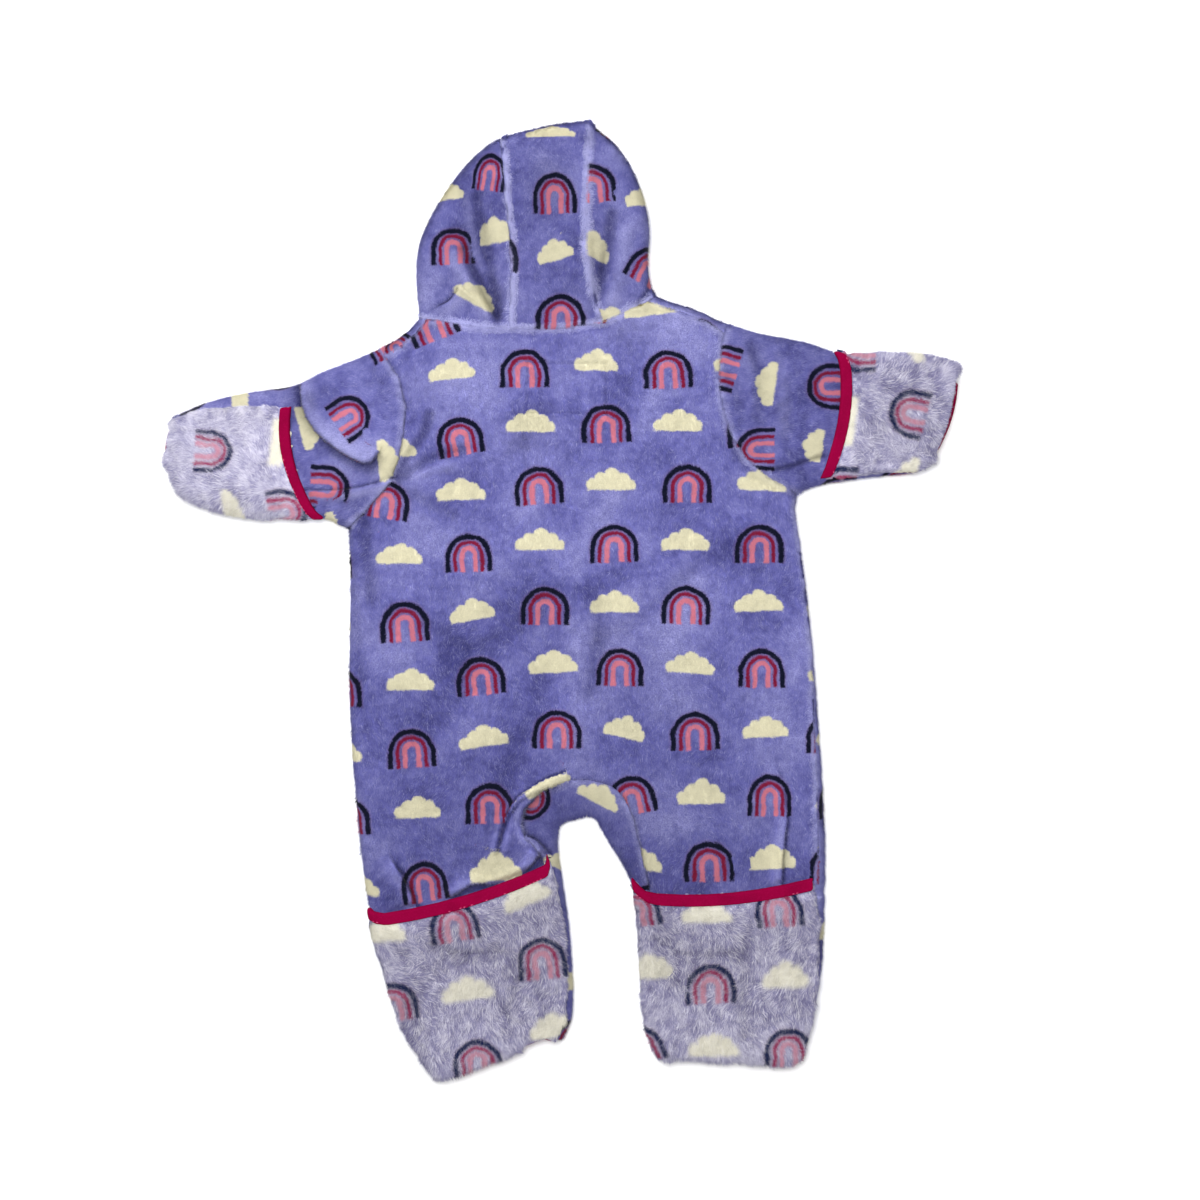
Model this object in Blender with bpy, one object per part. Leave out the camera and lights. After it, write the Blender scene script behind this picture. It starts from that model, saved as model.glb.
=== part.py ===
"""A hooded bunting suit for a baby, in plush fleece, laid flat on its front.

Metres, +Z up, +X to the right and +Y towards the hood, with the origin under the middle of the suit.
Sizes below are in millimetres. Each limb, the body and the hood is a flattened ring of cloth: a top
wall, a rolled edge on each side and a flat bottom wall. The panels are cut out of these rings.
"""

import math

import bmesh
import bpy
import numpy as np

MM = 0.001

# Cloth and seams
CLOTH = 4.0                # plush fleece with its pile, in a panel
FLUFF = 5.0                # the long-haired reverse that the turned-back flaps show
PRESSED = 2.2              # a flap's edge, pressed flat inside its binding
SEAM = 0.36                # gap between two panels at a seam
LAID = 0.8                 # gap between a limb and the flap that lies on it, which sinks into the pile
BODY_HEIGHT = 11.6         # two walls and the little air between them

# Binding
BINDING_WIDTH = 8.5
BINDING_WALL = 1.2
HEM_BAR = 4.6              # bound edge of the front layer at the end of each limb

# Zip, hidden under the suit
ZIP_HALF_WIDTH = 6.5
ZIP_TAPE = 1.4
ZIP_LOW = 1.6              # the tape's underside, above the surface the suit lies on
ZIP_TEETH_WIDTH = 5.0
SLIDER_LENGTH = 9.0
SLIDER_LOW = 0.4
SLIDER_TOP = 3.6

# How finely the cloth is divided
ROLL_STEPS = 5
ARMHOLE_STEPS = 7
SHOULDER_STEPS = (3, 5)    # left, right
NECK_STEPS = (4, 5, 3)     # left side panel, centre panel, right side panel
LEG_STEPS = (9, 10)        # across the back of a leg: left, right
GUSSET_STEPS = 3
SLEEVE_STEPS = 7

COLOURS = {
    "plush": (0.24, 0.20, 0.52),
    "reverse": (0.52, 0.50, 0.74),
    "binding": (0.60, 0.01, 0.11),
    "zip": (0.30, 0.27, 0.55),
}

# The neck seam, from the left end to the right end: x, y. The hood's long seams meet it at two of the points.
NECK = [
    (-95.2, 196.7), (-68.0, 191.5), (-37.1, 191.1), (-5.0, 190.6), (26.6, 195.3), (44.0, 202.5), (58.8, 208.6),
]
NECK_PARTS = [0, 2, 4, 6]      # the points of the neck seam where its three hood panels begin and end

# The shoulders, from the neck out: seam x, seam y, edge x, edge y
SHOULDER_LEFT = [
    (-95.2, 196.7, -101.0, 198.3),
    (-102.2, 187.9, -106.8, 192.6),
    (-113.4, 178.2, -116.6, 184.6),
    (-126.0, 170.8, -126.0, 178.4),
]
SHOULDER_RIGHT = [
    (58.8, 208.6, 64.4, 213.5),
    (77.7, 203.0, 81.2, 208.8),
    (96.6, 195.7, 99.4, 203.0),
    (112.0, 186.9, 114.1, 194.5),
]

# The armhole seams, from the shoulder to the underarm: x, y
ARMHOLE_LEFT = [
    (-126.0, 170.8), (-116.9, 156.8), (-112.4, 142.0), (-111.3, 128.1), (-113.4, 112.7),
    (-116.9, 95.2), (-123.0, 81.0), (-137.0, 66.0), (-147.1, 55.1),
]
ARMHOLE_RIGHT = [
    (112.0, 186.9), (108.6, 165.0), (108.5, 149.1), (110.6, 135.8), (115.0, 121.0),
    (123.5, 105.0), (134.5, 92.4), (147.0, 83.0), (158.0, 77.7),
]
UNDERARM_LEFT = (-151.2, 50.6)
UNDERARM_RIGHT = (163.2, 74.6)
CHEST_MIDDLE = (1.4, 60.2)     # the back's middle, level with the underarms

# The body below the arms: left edge x, y, middle x, y, right edge x, y, right seam's angle on the roll
BODY = [
    (-150.5, 43.5, 2.1, 43.0, 160.8, 66.0, 25.0),
    (-149.8, 18.0, 2.8, 17.0, 166.8, 28.7, 28.0),
    (-150.5, -20.3, 4.2, -20.3, 172.2, -12.0, 35.0),
    (-150.5, -62.3, 5.6, -55.3, 176.4, -55.3, 55.0),
    (-149.1, -100.8, 8.0, -92.0, 179.9, -98.0, 74.0),
    (-145.0, -150.0, 11.2, -125.5, 183.4, -150.0, 88.0),
]
LEFT_SEAM_ANGLE = -30.0        # the left side seam lies under the edge
EDGE_ROLL = 7.0                # how far in from the edge the side's roll starts

# The legs, from the crotch down: seam x, y, inner edge x, y, outer edge x, y, inner roll
LEG_LEFT = [
    (4.7, -125.5, 6.0, -154.0, -145.0, -150.0, 20.0),
    (-13.3, -132.3, -2.0, -157.0, -143.5, -166.0, 18.0),
    (-23.1, -141.4, -3.5, -162.4, -141.6, -181.0, 17.0),
    (-28.7, -151.9, -3.5, -169.4, -140.0, -195.0, 17.0),
    (-26.6, -163.1, -2.8, -176.4, -137.9, -207.9, 15.0),
    (-17.1, -173.9, -2.1, -185.5, -135.8, -219.1, 11.0),
    (-11.8, -189.9, 0.0, -202.3, -132.3, -235.9, 9.0),
    (-9.2, -211.3, 2.8, -221.8, -125.6, -252.7, 7.0),
    (-7.6, -238.3, 4.9, -246.3, -119.2, -273.7, 6.5),
    (-5.8, -265.3, 6.4, -270.8, -111.6, -292.8, 6.5),
    (-7.0, -287.3, 5.4, -291.7, -102.6, -310.0, 6.5),
    (-13.0, -302.7, -0.8, -306.6, -88.6, -330.0, 6.5),
]
LEG_RIGHT = [
    (17.7, -125.5, 14.5, -151.5, 183.4, -150.0, 20.0),
    (32.9, -129.5, 20.3, -151.9, 183.8, -167.0, 18.0),
    (41.6, -137.9, 24.8, -159.3, 183.8, -182.0, 17.0),
    (47.2, -149.8, 31.4, -170.0, 183.6, -195.3, 15.0),
    (50.7, -163.8, 39.0, -181.7, 183.4, -205.8, 13.0),
    (54.1, -178.9, 45.5, -194.6, 183.2, -217.7, 11.0),
    (57.5, -195.3, 49.8, -211.8, 182.7, -233.8, 9.0),
    (61.0, -216.3, 52.6, -228.3, 181.6, -252.7, 7.0),
    (63.7, -240.8, 54.6, -250.3, 178.8, -272.3, 6.5),
    (66.2, -265.3, 56.4, -273.3, 174.6, -290.0, 6.5),
    (70.6, -288.8, 60.2, -295.8, 170.6, -304.0, 6.5),
    (80.0, -311.5, 68.6, -317.0, 164.5, -318.0, 6.5),
]

# The sleeves, from the armhole out: upper edge x, y, lower edge x, y, bow
SLEEVE_LEFT = [
    (-126.0, 178.4, -151.2, 50.6, 0.0),
    (-147.5, 169.0, -154.9, 51.6, 0.0),
    (-168.0, 161.0, -164.0, 56.6, 0.0),
    (-184.8, 152.4, -176.4, 57.2, 0.0),
    (-198.7, 149.1, -191.8, 59.5, 0.0),
    (-219.8, 146.6, -213.4, 60.2, 1.0),
    (-244.3, 141.0, -235.2, 64.1, 2.0),
    (-260.8, 135.0, -252.3, 68.6, 4.0),
    (-273.8, 128.5, -266.4, 76.4, 4.5),
]
SLEEVE_RIGHT = [
    (114.1, 194.5, 163.2, 74.6, 0.0),
    (133.7, 188.4, 168.4, 77.3, 0.0),
    (154.7, 184.5, 176.7, 80.3, 0.0),
    (175.7, 179.6, 186.6, 82.6, 0.0),
    (196.7, 171.9, 200.2, 84.6, 0.0),
    (221.2, 170.4, 219.6, 86.8, 1.0),
    (243.7, 169.4, 237.8, 88.3, 2.0),
    (261.2, 167.0, 248.6, 90.8, 2.5),
    (273.8, 161.6, 257.4, 97.0, 2.0),
]

# The hood, from the neck up. Each side: seam x, y, edge x, y, face opening x, y, then the rise of the seam and
# of the edge, and how far in from the edge the roll starts
HOOD_LEFT = [
    (-37.1, 191.1, -101.0, 198.3, -62.3, 194.6, 0.0, 0.0, 6.0),
    (-36.4, 210.7, -103.2, 216.7, -46.0, 212.2, 3.5, 2.5, 7.0),
    (-36.4, 230.0, -103.6, 235.2, -29.8, 231.7, 8.0, 5.0, 8.0),
    (-37.1, 250.6, -100.8, 253.0, -24.3, 250.6, 11.0, 7.0, 9.0),
    (-38.5, 270.9, -92.4, 270.5, -25.4, 269.5, 12.5, 8.0, 9.0),
    (-40.6, 287.3, -82.6, 286.6, -28.6, 284.2, 12.0, 8.0, 9.0),
    (-41.6, 299.2, -72.1, 301.0, -33.2, 294.3, 10.5, 7.0, 9.0),
    (-42.3, 306.6, -60.2, 313.6, -38.8, 301.0, 9.0, 6.5, 8.5),
    (-42.7, 311.2, -51.4, 320.2, -43.6, 304.9, 8.0, 6.2, 8.0),
    (-42.7, 313.6, -43.2, 324.4, -42.7, 305.4, 7.0, 6.0, 8.0),
]
HOOD_RIGHT = [
    (26.6, 195.3, 64.4, 213.5, 41.2, 203.0, 0.0, 0.0, 6.0),
    (22.4, 211.7, 60.0, 224.6, 36.2, 218.3, 3.5, 2.5, 7.0),
    (18.2, 230.6, 59.0, 239.3, 21.2, 235.1, 8.0, 5.0, 8.0),
    (16.1, 251.6, 60.4, 256.1, 10.7, 252.6, 11.0, 7.0, 9.0),
    (15.4, 272.3, 58.1, 274.3, 8.6, 271.5, 12.5, 8.0, 9.0),
    (16.1, 288.7, 53.4, 290.0, 9.0, 286.2, 12.0, 8.0, 9.0),
    (16.8, 302.3, 46.6, 304.6, 12.2, 297.3, 10.5, 7.0, 9.0),
    (17.3, 312.1, 37.3, 318.4, 15.0, 305.7, 9.0, 6.5, 8.5),
    (17.7, 318.6, 26.2, 327.4, 18.4, 312.3, 8.0, 6.2, 8.0),
    (18.2, 324.0, 18.4, 336.0, 18.2, 315.2, 7.0, 6.0, 8.0),
]
HOOD_CROWN = 2.0               # the centre panel's extra rise between its seams
HOOD_END_BOW = 2.4             # how far the centre panel's end bows out past its corners
HOOD_CREST = 8.0               # the height from which its end bows out in full

# Folds in the top wall: from x, y to x, y, height (a trough below 0), half width
FOLDS = [
    (-181.0, 146.0, -135.0, 98.0, 4.0, 9.0),       # left sleeve, across the upper arm
    (-176.0, 128.0, -150.0, 84.0, -2.4, 7.0),
    (-131.0, 150.0, -124.0, 96.0, 2.0, 8.0),
    (122.0, 176.0, 128.0, 118.0, 2.2, 8.0),        # right sleeve cap
    (141.0, 168.0, 168.0, 112.0, -2.0, 8.0),
    (166.0, 168.0, 176.0, 100.0, 2.6, 8.0),
    (-92.0, 162.0, -52.0, 118.0, 1.6, 12.0),       # back, under the shoulders
    (70.0, 168.0, 46.0, 112.0, 1.4, 12.0),
    (-118.0, 66.0, -60.0, 34.0, 1.6, 10.0),        # back, from the underarms
    (128.0, 58.0, 78.0, 22.0, 1.6, 10.0),
    (-128.0, -20.0, -60.0, -52.0, -1.2, 12.0),
    (60.0, -60.0, 132.0, -84.0, -1.2, 12.0),
    (-62.0, -96.0, -20.0, -112.0, 1.6, 9.0),       # back, above the crotch
    (26.0, -112.0, 76.0, -98.0, 1.4, 9.0),
    (2.0, -119.0, -30.0, -135.0, 3.4, 6.5),        # raised rim round the left of the crotch
    (-30.0, -135.0, -40.0, -166.0, 3.4, 6.5),
    (158.0, -103.0, 153.0, -176.0, -2.2, 7.0),     # right leg
    (96.0, -160.0, 120.0, -192.0, 1.6, 10.0),
    (-124.0, -170.0, -110.0, -200.0, -2.4, 7.0),   # left leg, above the flap
    (-74.0, -184.0, -24.0, -168.0, 3.0, 8.0),
    (-79.0, 246.0, -49.0, 208.0, -4.5, 6.5),       # hood
    (-61.6, 276.0, -45.0, 206.0, -3.0, 5.5),
    (32.0, 268.0, 24.0, 206.0, -3.5, 5.5),
    (-98.0, 203.0, -74.0, 219.0, -2.2, 5.5),
]

# The flaps: first and last station at the mouth, then at the end, the mouth's ends x, y, x, y and its sag
# towards the limb's end, then how far the fold at the end stands out past the limb: at its first and its
# last station, and what more in the middle
FLAPS = {
    "sleeve_flap_left": (0.10, 1.20, -0.10, 1.30, -192.6, 138.6, -169.6, 60.2, 9.0, 1.6, 4.0, 0.5),
    "sleeve_flap_right": (-0.20, 1.08, -0.30, 1.16, 190.5, 172.2, 180.0, 83.3, 8.0, 1.4, 1.4, 0.0),
    "leg_flap_left": (-0.22, 1.00, -0.30, 1.04, -133.7, -214.3, -10.5, -177.2, 12.0, 3.6, 1.8, 0.5),
    "leg_flap_right": (0.02, 1.20, -0.20, 1.32, 175.7, -195.3, 51.1, -193.2, 13.0, 3.0, 1.4, 5.0),
}
FLAP_STEPS = (10, 8)           # round the limb, along it
FLAP_DROP = 7.0                # how far the fold at the end comes down
FLAP_FOLD_ANGLES = (62, 36, 12)
LEAST_FOLD_REACH = 1.2         # the least that the fold's inner face stands out past the limb
MOUTH_SEARCH = (2.0, 8.0)      # places on a limb between which a mouth lies
MOUTH_DIRECTION = (4.0, 6.0)   # places that tell which way a limb's end lies
BOUND_MARKS = (0.85, 1.25)     # where the pressed edge ends and the full pile starts, in binding widths

# The mouth's binding in section: its lips' shares of the width, how far its back stands out past the edge,
# and how much its corners are rounded
LIP_UPPER = 0.75
LIP_LOWER = 0.6
BINDING_INNER_BACK = 0.8
BINDING_OUTER_BACK = 2.2
BINDING_ROUND = 0.2
BINDING_BACK_ROUND = (1.4, 0.4)    # at its lower and its upper corner

# The hems: half of a limb's ring is bound, and the bar is a prism
HEM_STATIONS = 9
HEM_START = 3.0                # the station of the first edge on the bottom wall
HEM_SIDES = 8
HEM_LOOK_BACK = 0.3            # how far back along the limb its direction is taken

# The slider: share of its length, half width
SLIDER_SHAPE = [(0.0, 2.6), (0.3, 3.6), (1.0, 2.2)]
TEETH_SLOPE = 0.6

CURVE_STEPS = 240              # how finely a curve is measured for even spacing
MOST_ROLL = 0.75               # of the cloth between a leg's seam and its edge
FADE_POWER = 1.5               # how softly a seam's curve fades out along a limb or up the hood
SLEEVE_FADE = 3.0              # the place where it is gone, on a sleeve
HOOD_FADE = 1.5                # and on the hood
CROWN_ROWS = 8                 # rows of the hood over which its crown rises
END_ROWS = 3                   # rows of its end over which the crown goes again
FACE_STEPS = 3                 # divisions of the hood's bottom wall


def catmull(points, place):
    """A smooth curve through the points, at a place counted in points."""
    points = np.asarray(points, float)
    last = len(points) - 1
    place = min(max(place, 0.0), last)
    i = min(int(place), last - 1)
    t = place - i
    p1 = points[i]
    p2 = points[i + 1]
    p0 = points[i - 1] if i > 0 else 2 * p1 - p2
    p3 = points[i + 2] if i + 2 <= last else 2 * p2 - p1
    return 0.5 * (2 * p1 + (p2 - p0) * t + (2 * p0 - 5 * p1 + 4 * p2 - p3) * t ** 2
                  + (3 * p1 - p0 - 3 * p2 + p3) * t ** 3)


def even_stations(points, steps):
    """Points at even spacing along the smooth curve through the given ones."""
    last = len(points) - 1
    fine = np.array([catmull(points, i * last / CURVE_STEPS) for i in range(CURVE_STEPS + 1)])
    run = np.concatenate([[0.0], np.cumsum(np.linalg.norm(np.diff(fine[:, :2], axis=0), axis=1))])
    wanted = np.linspace(0.0, run[-1], steps + 1)
    return np.stack([np.interp(wanted, run, fine[:, k]) for k in range(fine.shape[1])], axis=1)


def fold_height(x, y):
    """The folds' share of the top wall's height."""
    total = 0.0
    for x0, y0, x1, y1, height, width in FOLDS:
        along = np.array((x1 - x0, y1 - y0))
        length = np.linalg.norm(along)
        along /= length
        offset = np.array((x - x0, y - y0))
        s = offset @ along
        past = max(-s, s - length, 0.0)
        across = abs(along[0] * offset[1] - along[1] * offset[0])
        total += height * math.exp(-(across / width) ** 2 - (past / (1.2 * width)) ** 2)
    return total


def top_height(point):
    """Height of the suit's top face over a plan point, before the hood's own rise."""
    return BODY_HEIGHT + fold_height(point[0], point[1])


def roll_point(start, edge, height, angle, depth):
    """A point on a rolled edge, from its top at 90 degrees to its bottom at -90.

    The roll runs from the plan point start out to edge, and depth is measured into the cloth.
    """
    reach = np.asarray(edge, float) - np.asarray(start, float)
    width = np.linalg.norm(reach)
    a = math.radians(angle)
    plan = np.asarray(start, float) + reach / width * (width - depth) * math.cos(a)
    half = height / 2
    return (plan[0], plan[1], half + (half - depth) * math.sin(a))


class Limb:
    """A flattened ring of cloth along a limb.

    Its section at a place along the limb has stations round the ring: 0 to 1 is the top wall from the
    first edge to the second, 1 to 2 the second edge's roll, 2 to 3 the bottom wall, and -1 to 0 the
    first edge's roll.
    """

    def __init__(self, section):
        self.section = section

    def point(self, place, station, depth):
        first, second, path = self.section(place)
        if station < 0:
            start = path(0.0)
            return roll_point(start, first, top_height(start), 90 + 180 * station, depth)
        if station <= 1:
            plan = path(station)
            return (plan[0], plan[1], top_height(plan) - depth)
        if station <= 2:
            start = path(1.0)
            return roll_point(start, second, top_height(start), 90 - 180 * (station - 1), depth)
        if station <= 3:
            plan = path(3 - station)
            return (plan[0], plan[1], depth)
        start = path(0.0)
        return roll_point(start, first, top_height(start), -90 + 180 * (station - 3), depth)

    def grid(self, places, stations, depth):
        return [[self.point(place, station, depth) for station in stations] for place in places]


def sleeve_limb(table, seam):
    """A sleeve. Its first ring follows the armhole, and that curve fades out along the arm."""
    seam = even_stations(seam, ARMHOLE_STEPS)
    rows = np.array(table)

    def section(place):
        row = catmull(rows, place)
        first = row[0:2]
        second = row[2:4]
        chord = second - first
        unit = chord / np.linalg.norm(chord)
        bow = np.array((unit[1], -unit[0])) * row[4] * (-1 if rows[-1][0] > 0 else 1)
        start = first + unit * EDGE_ROLL
        stop = second - unit * EDGE_ROLL
        share = max(0.0, 1 - place / SLEEVE_FADE) ** FADE_POWER

        def path(t):
            straight = start + (stop - start) * t + bow * 4 * t * (1 - t)
            if share == 0.0:
                return straight
            armhole = catmull(seam, t * ARMHOLE_STEPS)
            straight_armhole = start_0 + (stop_0 - start_0) * t
            return straight + (armhole - straight_armhole) * share

        return first, second, path

    unit_0 = rows[0][2:4] - rows[0][0:2]
    unit_0 = unit_0 / np.linalg.norm(unit_0)
    start_0 = rows[0][0:2] + unit_0 * EDGE_ROLL
    stop_0 = rows[0][2:4] - unit_0 * EDGE_ROLL
    return Limb(section)


def leg_limb(table, steps):
    """A leg. Its ring runs from the outer edge over the back to the seam, then over the gusset."""
    rows = np.array(table)
    seam_station = steps / (steps + GUSSET_STEPS)

    def section(place):
        row = catmull(rows, place)
        seam = row[0:2]
        inner = row[2:4]
        outer = row[4:6]
        inward = (inner - seam) / np.linalg.norm(inner - seam)
        inner_start = inner - inward * min(row[6], MOST_ROLL * np.linalg.norm(inner - seam))
        across = (seam - outer) / np.linalg.norm(seam - outer)
        outer_start = outer + across * EDGE_ROLL

        def path(t):
            if t <= seam_station:
                return outer_start + (seam - outer_start) * t / seam_station
            return seam + (inner_start - seam) * (t - seam_station) / (1 - seam_station)

        return outer, inner, path

    return Limb(section)


def roll_angles(start, stop):
    return [start + (stop - start) * i / ROLL_STEPS for i in range(ROLL_STEPS + 1)]


def pull_in(grid, side, amount=SEAM / 2):
    """The grid with one of its borders drawn back along the cloth by half a seam's gap."""
    grid = [[None if p is None else np.array(p, float) for p in row] for row in grid]
    if side in ("left", "right"):
        for row in grid:
            there = [j for j, p in enumerate(row) if p is not None]
            if len(there) < 2:
                continue
            edge, inside = (there[0], there[1]) if side == "left" else (there[-1], there[-2])
            row[edge] = drawn_back(row[edge], row[inside], amount)
        return grid
    for j in range(len(grid[0])):
        there = [i for i, row in enumerate(grid) if row[j] is not None]
        if len(there) < 2:
            continue
        edge, inside = (there[0], there[1]) if side == "first" else (there[-1], there[-2])
        grid[edge][j] = drawn_back(grid[edge][j], grid[inside][j], amount)
    return grid


def drawn_back(point, towards, amount):
    step = towards - point
    length = np.linalg.norm(step)
    return point + step * (amount / length) if length > 2 * amount else point


def material(name, colour, roughness=0.9):
    made = bpy.data.materials.new(name)
    made.use_nodes = True
    shader = made.node_tree.nodes["Principled BSDF"]
    shader.inputs["Base Color"].default_value = (*colour, 1.0)
    shader.inputs["Roughness"].default_value = roughness
    made.diffuse_color = (*colour, 1.0)
    return made


def cloth(name, patches, look):
    """One closed wall of cloth, from patches of matching outer and inner points."""
    index = {}
    pairs = []
    faces = []
    for outer, inner in patches:
        for i in range(len(outer) - 1):
            for j in range(len(outer[0]) - 1):
                corners = ((i, j), (i, j + 1), (i + 1, j + 1), (i + 1, j))
                if any(outer[a][b] is None for a, b in corners):
                    continue
                face = []
                for a, b in corners:
                    key = tuple(round(float(value), 3) for value in outer[a][b])
                    if key not in index:
                        index[key] = len(pairs)
                        pairs.append((outer[a][b], inner[a][b]))
                    if index[key] not in face:
                        face.append(index[key])
                if len(face) > 2:
                    faces.append(face)
    edges = {(face[k], face[(k + 1) % len(face)]) for face in faces for k in range(len(face))}
    bm = bmesh.new()
    outside = [bm.verts.new([float(value) * MM for value in pair[0]]) for pair in pairs]
    inside = [bm.verts.new([float(value) * MM for value in pair[1]]) for pair in pairs]
    for face in faces:
        bm.faces.new([outside[k] for k in face])
        bm.faces.new([inside[k] for k in reversed(face)])
    for a, b in sorted(edges):
        if (b, a) not in edges:
            bm.faces.new([outside[b], outside[a], inside[a], inside[b]])
    bmesh.ops.recalc_face_normals(bm, faces=bm.faces)
    flat = [edge for edge in bm.edges if len(edge.link_faces) == 2]
    bmesh.ops.dissolve_limit(bm, angle_limit=math.radians(0.2), verts=bm.verts, edges=flat,
                             use_dissolve_boundaries=False, delimit=set())
    mesh = bpy.data.meshes.new(name)
    bm.to_mesh(mesh)
    bm.free()
    mesh.shade_smooth()
    mesh.set_sharp_from_angle(angle=math.radians(50))
    obj = bpy.data.objects.new(name, mesh)
    obj.data.materials.append(LOOKS[look])
    COLLECTION.objects.link(obj)
    return obj


def double(builder, thickness=CLOTH):
    """The outer and the inner grid of a wall, from a function of depth."""
    return builder(0.0), builder(thickness)


def borders(pair, *sides):
    for side in sides:
        pair = tuple(pull_in(grid, side) for grid in pair)
    return pair


# ---------------------------------------------------------------------------------------- body rings

def neck_stations():
    """The neck seam in the hood's three panels, as one list of plan points."""
    stations = []
    for part, steps in enumerate(NECK_STEPS):
        start, stop = NECK_PARTS[part:part + 2]
        piece = [catmull(NECK, place) for place in np.linspace(start, stop, 9)]
        piece = even_stations(piece, steps)
        stations += list(piece if part == 0 else piece[1:])
    return stations


def body_columns():
    return (SHOULDER_STEPS[0] + NECK_STEPS[0] + NECK_STEPS[1] // 2,
            NECK_STEPS[1] // 2 + NECK_STEPS[2] + SHOULDER_STEPS[1])


def row_across(left, middle, right):
    """Plan points across the body, with the zip's column in the middle."""
    steps_left, steps_right = body_columns()
    left = np.asarray(left, float)
    right = np.asarray(right, float)
    half = np.array((ZIP_HALF_WIDTH, 0.0))
    middle = np.asarray(middle, float)
    points = [left + (middle - half - left) * i / steps_left for i in range(steps_left + 1)]
    points += [middle + half + (right - middle - half) * i / steps_right for i in range(steps_right + 1)]
    return points


def body_rows():
    """Plan rows of the body, each with its edges and its right seam angle (None where the arms are)."""
    shoulder_left = even_stations(SHOULDER_LEFT, SHOULDER_STEPS[0])
    shoulder_right = even_stations(SHOULDER_RIGHT, SHOULDER_STEPS[1])
    neck = neck_stations()
    top = [p[:2] for p in shoulder_left[::-1]] + neck[1:-1] + [p[:2] for p in shoulder_right]
    left = even_stations(ARMHOLE_LEFT, ARMHOLE_STEPS)
    right = even_stations(ARMHOLE_RIGHT, ARMHOLE_STEPS)
    bottom = row_across(left[-1], CHEST_MIDDLE, right[-1])
    count = len(top) - 1
    rows = []
    for k in range(ARMHOLE_STEPS + 1):
        v = k / ARMHOLE_STEPS
        plan = []
        for j in range(count + 1):
            u = j / count
            corner = ((1 - u) * (1 - v) * top[0] + u * (1 - v) * top[-1]
                      + (1 - u) * v * bottom[0] + u * v * bottom[-1])
            plan.append((1 - v) * top[j] + v * bottom[j] + (1 - u) * left[k] + u * right[k] - corner)
        last = k == ARMHOLE_STEPS
        rows.append((plan, UNDERARM_LEFT if last else None, UNDERARM_RIGHT if last else None, BODY[0][6]))
    steps = 2 * (len(BODY) - 1)
    for k in range(steps + 1):
        x0, y0, xm, ym, x1, y1, angle = catmull(BODY, k / 2)
        edge_left = np.array((x0, y0))
        edge_right = np.array((x1, y1))
        middle = np.array((xm, ym))
        start_left = edge_left + (middle - edge_left) / np.linalg.norm(middle - edge_left) * EDGE_ROLL
        start_right = edge_right + (middle - edge_right) / np.linalg.norm(middle - edge_right) * EDGE_ROLL
        rows.append((row_across(start_left, middle, start_right), edge_left, edge_right, angle))
    return rows


def back_grid(rows, depth):
    """The body's top wall, with the rolls as far as the side seams."""
    grid = []
    for plan, edge_left, edge_right, angle in rows:
        top = [(p[0], p[1], top_height(p) - depth) for p in plan]
        if edge_left is None:
            grid.append([None] * ROLL_STEPS + top + [None] * ROLL_STEPS)
            continue
        left = [roll_point(plan[0], edge_left, top_height(plan[0]), a, depth)
                for a in roll_angles(LEFT_SEAM_ANGLE, 90)[:-1]]
        right = [roll_point(plan[-1], edge_right, top_height(plan[-1]), a, depth)
                 for a in roll_angles(90, angle)[1:]]
        grid.append(left + top + right)
    return grid


def front_grid(rows, side, depth):
    """Half of the body's bottom wall, from the zip out, with its share of the side and shoulder rolls."""
    steps_left, steps_right = body_columns()
    is_left = side == "left"
    table = SHOULDER_LEFT if is_left else SHOULDER_RIGHT
    steps = SHOULDER_STEPS[0] if is_left else SHOULDER_STEPS[1]
    half_columns = steps_left if is_left else steps_right
    shoulder = even_stations(table, steps)
    grid = []
    for angle in roll_angles(90, -90)[:-1]:
        row = [None] * (half_columns - steps)
        for sx, sy, ex, ey in shoulder:
            row.append(roll_point((sx, sy), (ex, ey), top_height((sx, sy)), angle, depth))
        grid.append(row + [None] * ROLL_STEPS)
    for plan, edge_left, edge_right, angle in rows:
        half = plan[steps_left::-1] if is_left else plan[steps_left + 1:]
        edge = edge_left if is_left else edge_right
        seam_angle = LEFT_SEAM_ANGLE if is_left else angle
        bottom = [(p[0], p[1], depth) for p in half]
        if edge is None:
            grid.append(bottom + [None] * ROLL_STEPS)
            continue
        roll = [roll_point(half[-1], edge, top_height(half[-1]), a, depth)
                for a in roll_angles(-90, seam_angle)[1:]]
        grid.append(bottom + roll)
    return grid


def leg_places(table):
    return [0.5 * k for k in range(2 * (len(table) - 1) + 1)]


def leg_back(limb, steps, table, is_left, angles, depth):
    """A leg's share of the back, from its side seam over to the gusset seam."""
    seam_station = steps / (steps + GUSSET_STEPS)
    grid = []
    for place in leg_places(table):
        stations = [(a - 90) / 180 for a in roll_angles(angles, 90)[:-1]]
        stations += [seam_station * i / steps for i in range(steps + 1)]
        row = [limb.point(place, station, depth) for station in stations]
        grid.append(row if is_left else row[::-1])
    return grid


def leg_front(limb, steps, table, angle, depth):
    """A leg's share of the front, from the gusset seam out to its side seam."""
    seam_station = steps / (steps + GUSSET_STEPS)
    grid = []
    for place in leg_places(table):
        stations = [3 - seam_station * i / steps for i in range(steps, -1, -1)]
        stations += [3 + (a + 90) / 180 for a in roll_angles(-90, angle)[1:]]
        grid.append([limb.point(place, station, depth) for station in stations])
    return grid


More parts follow.
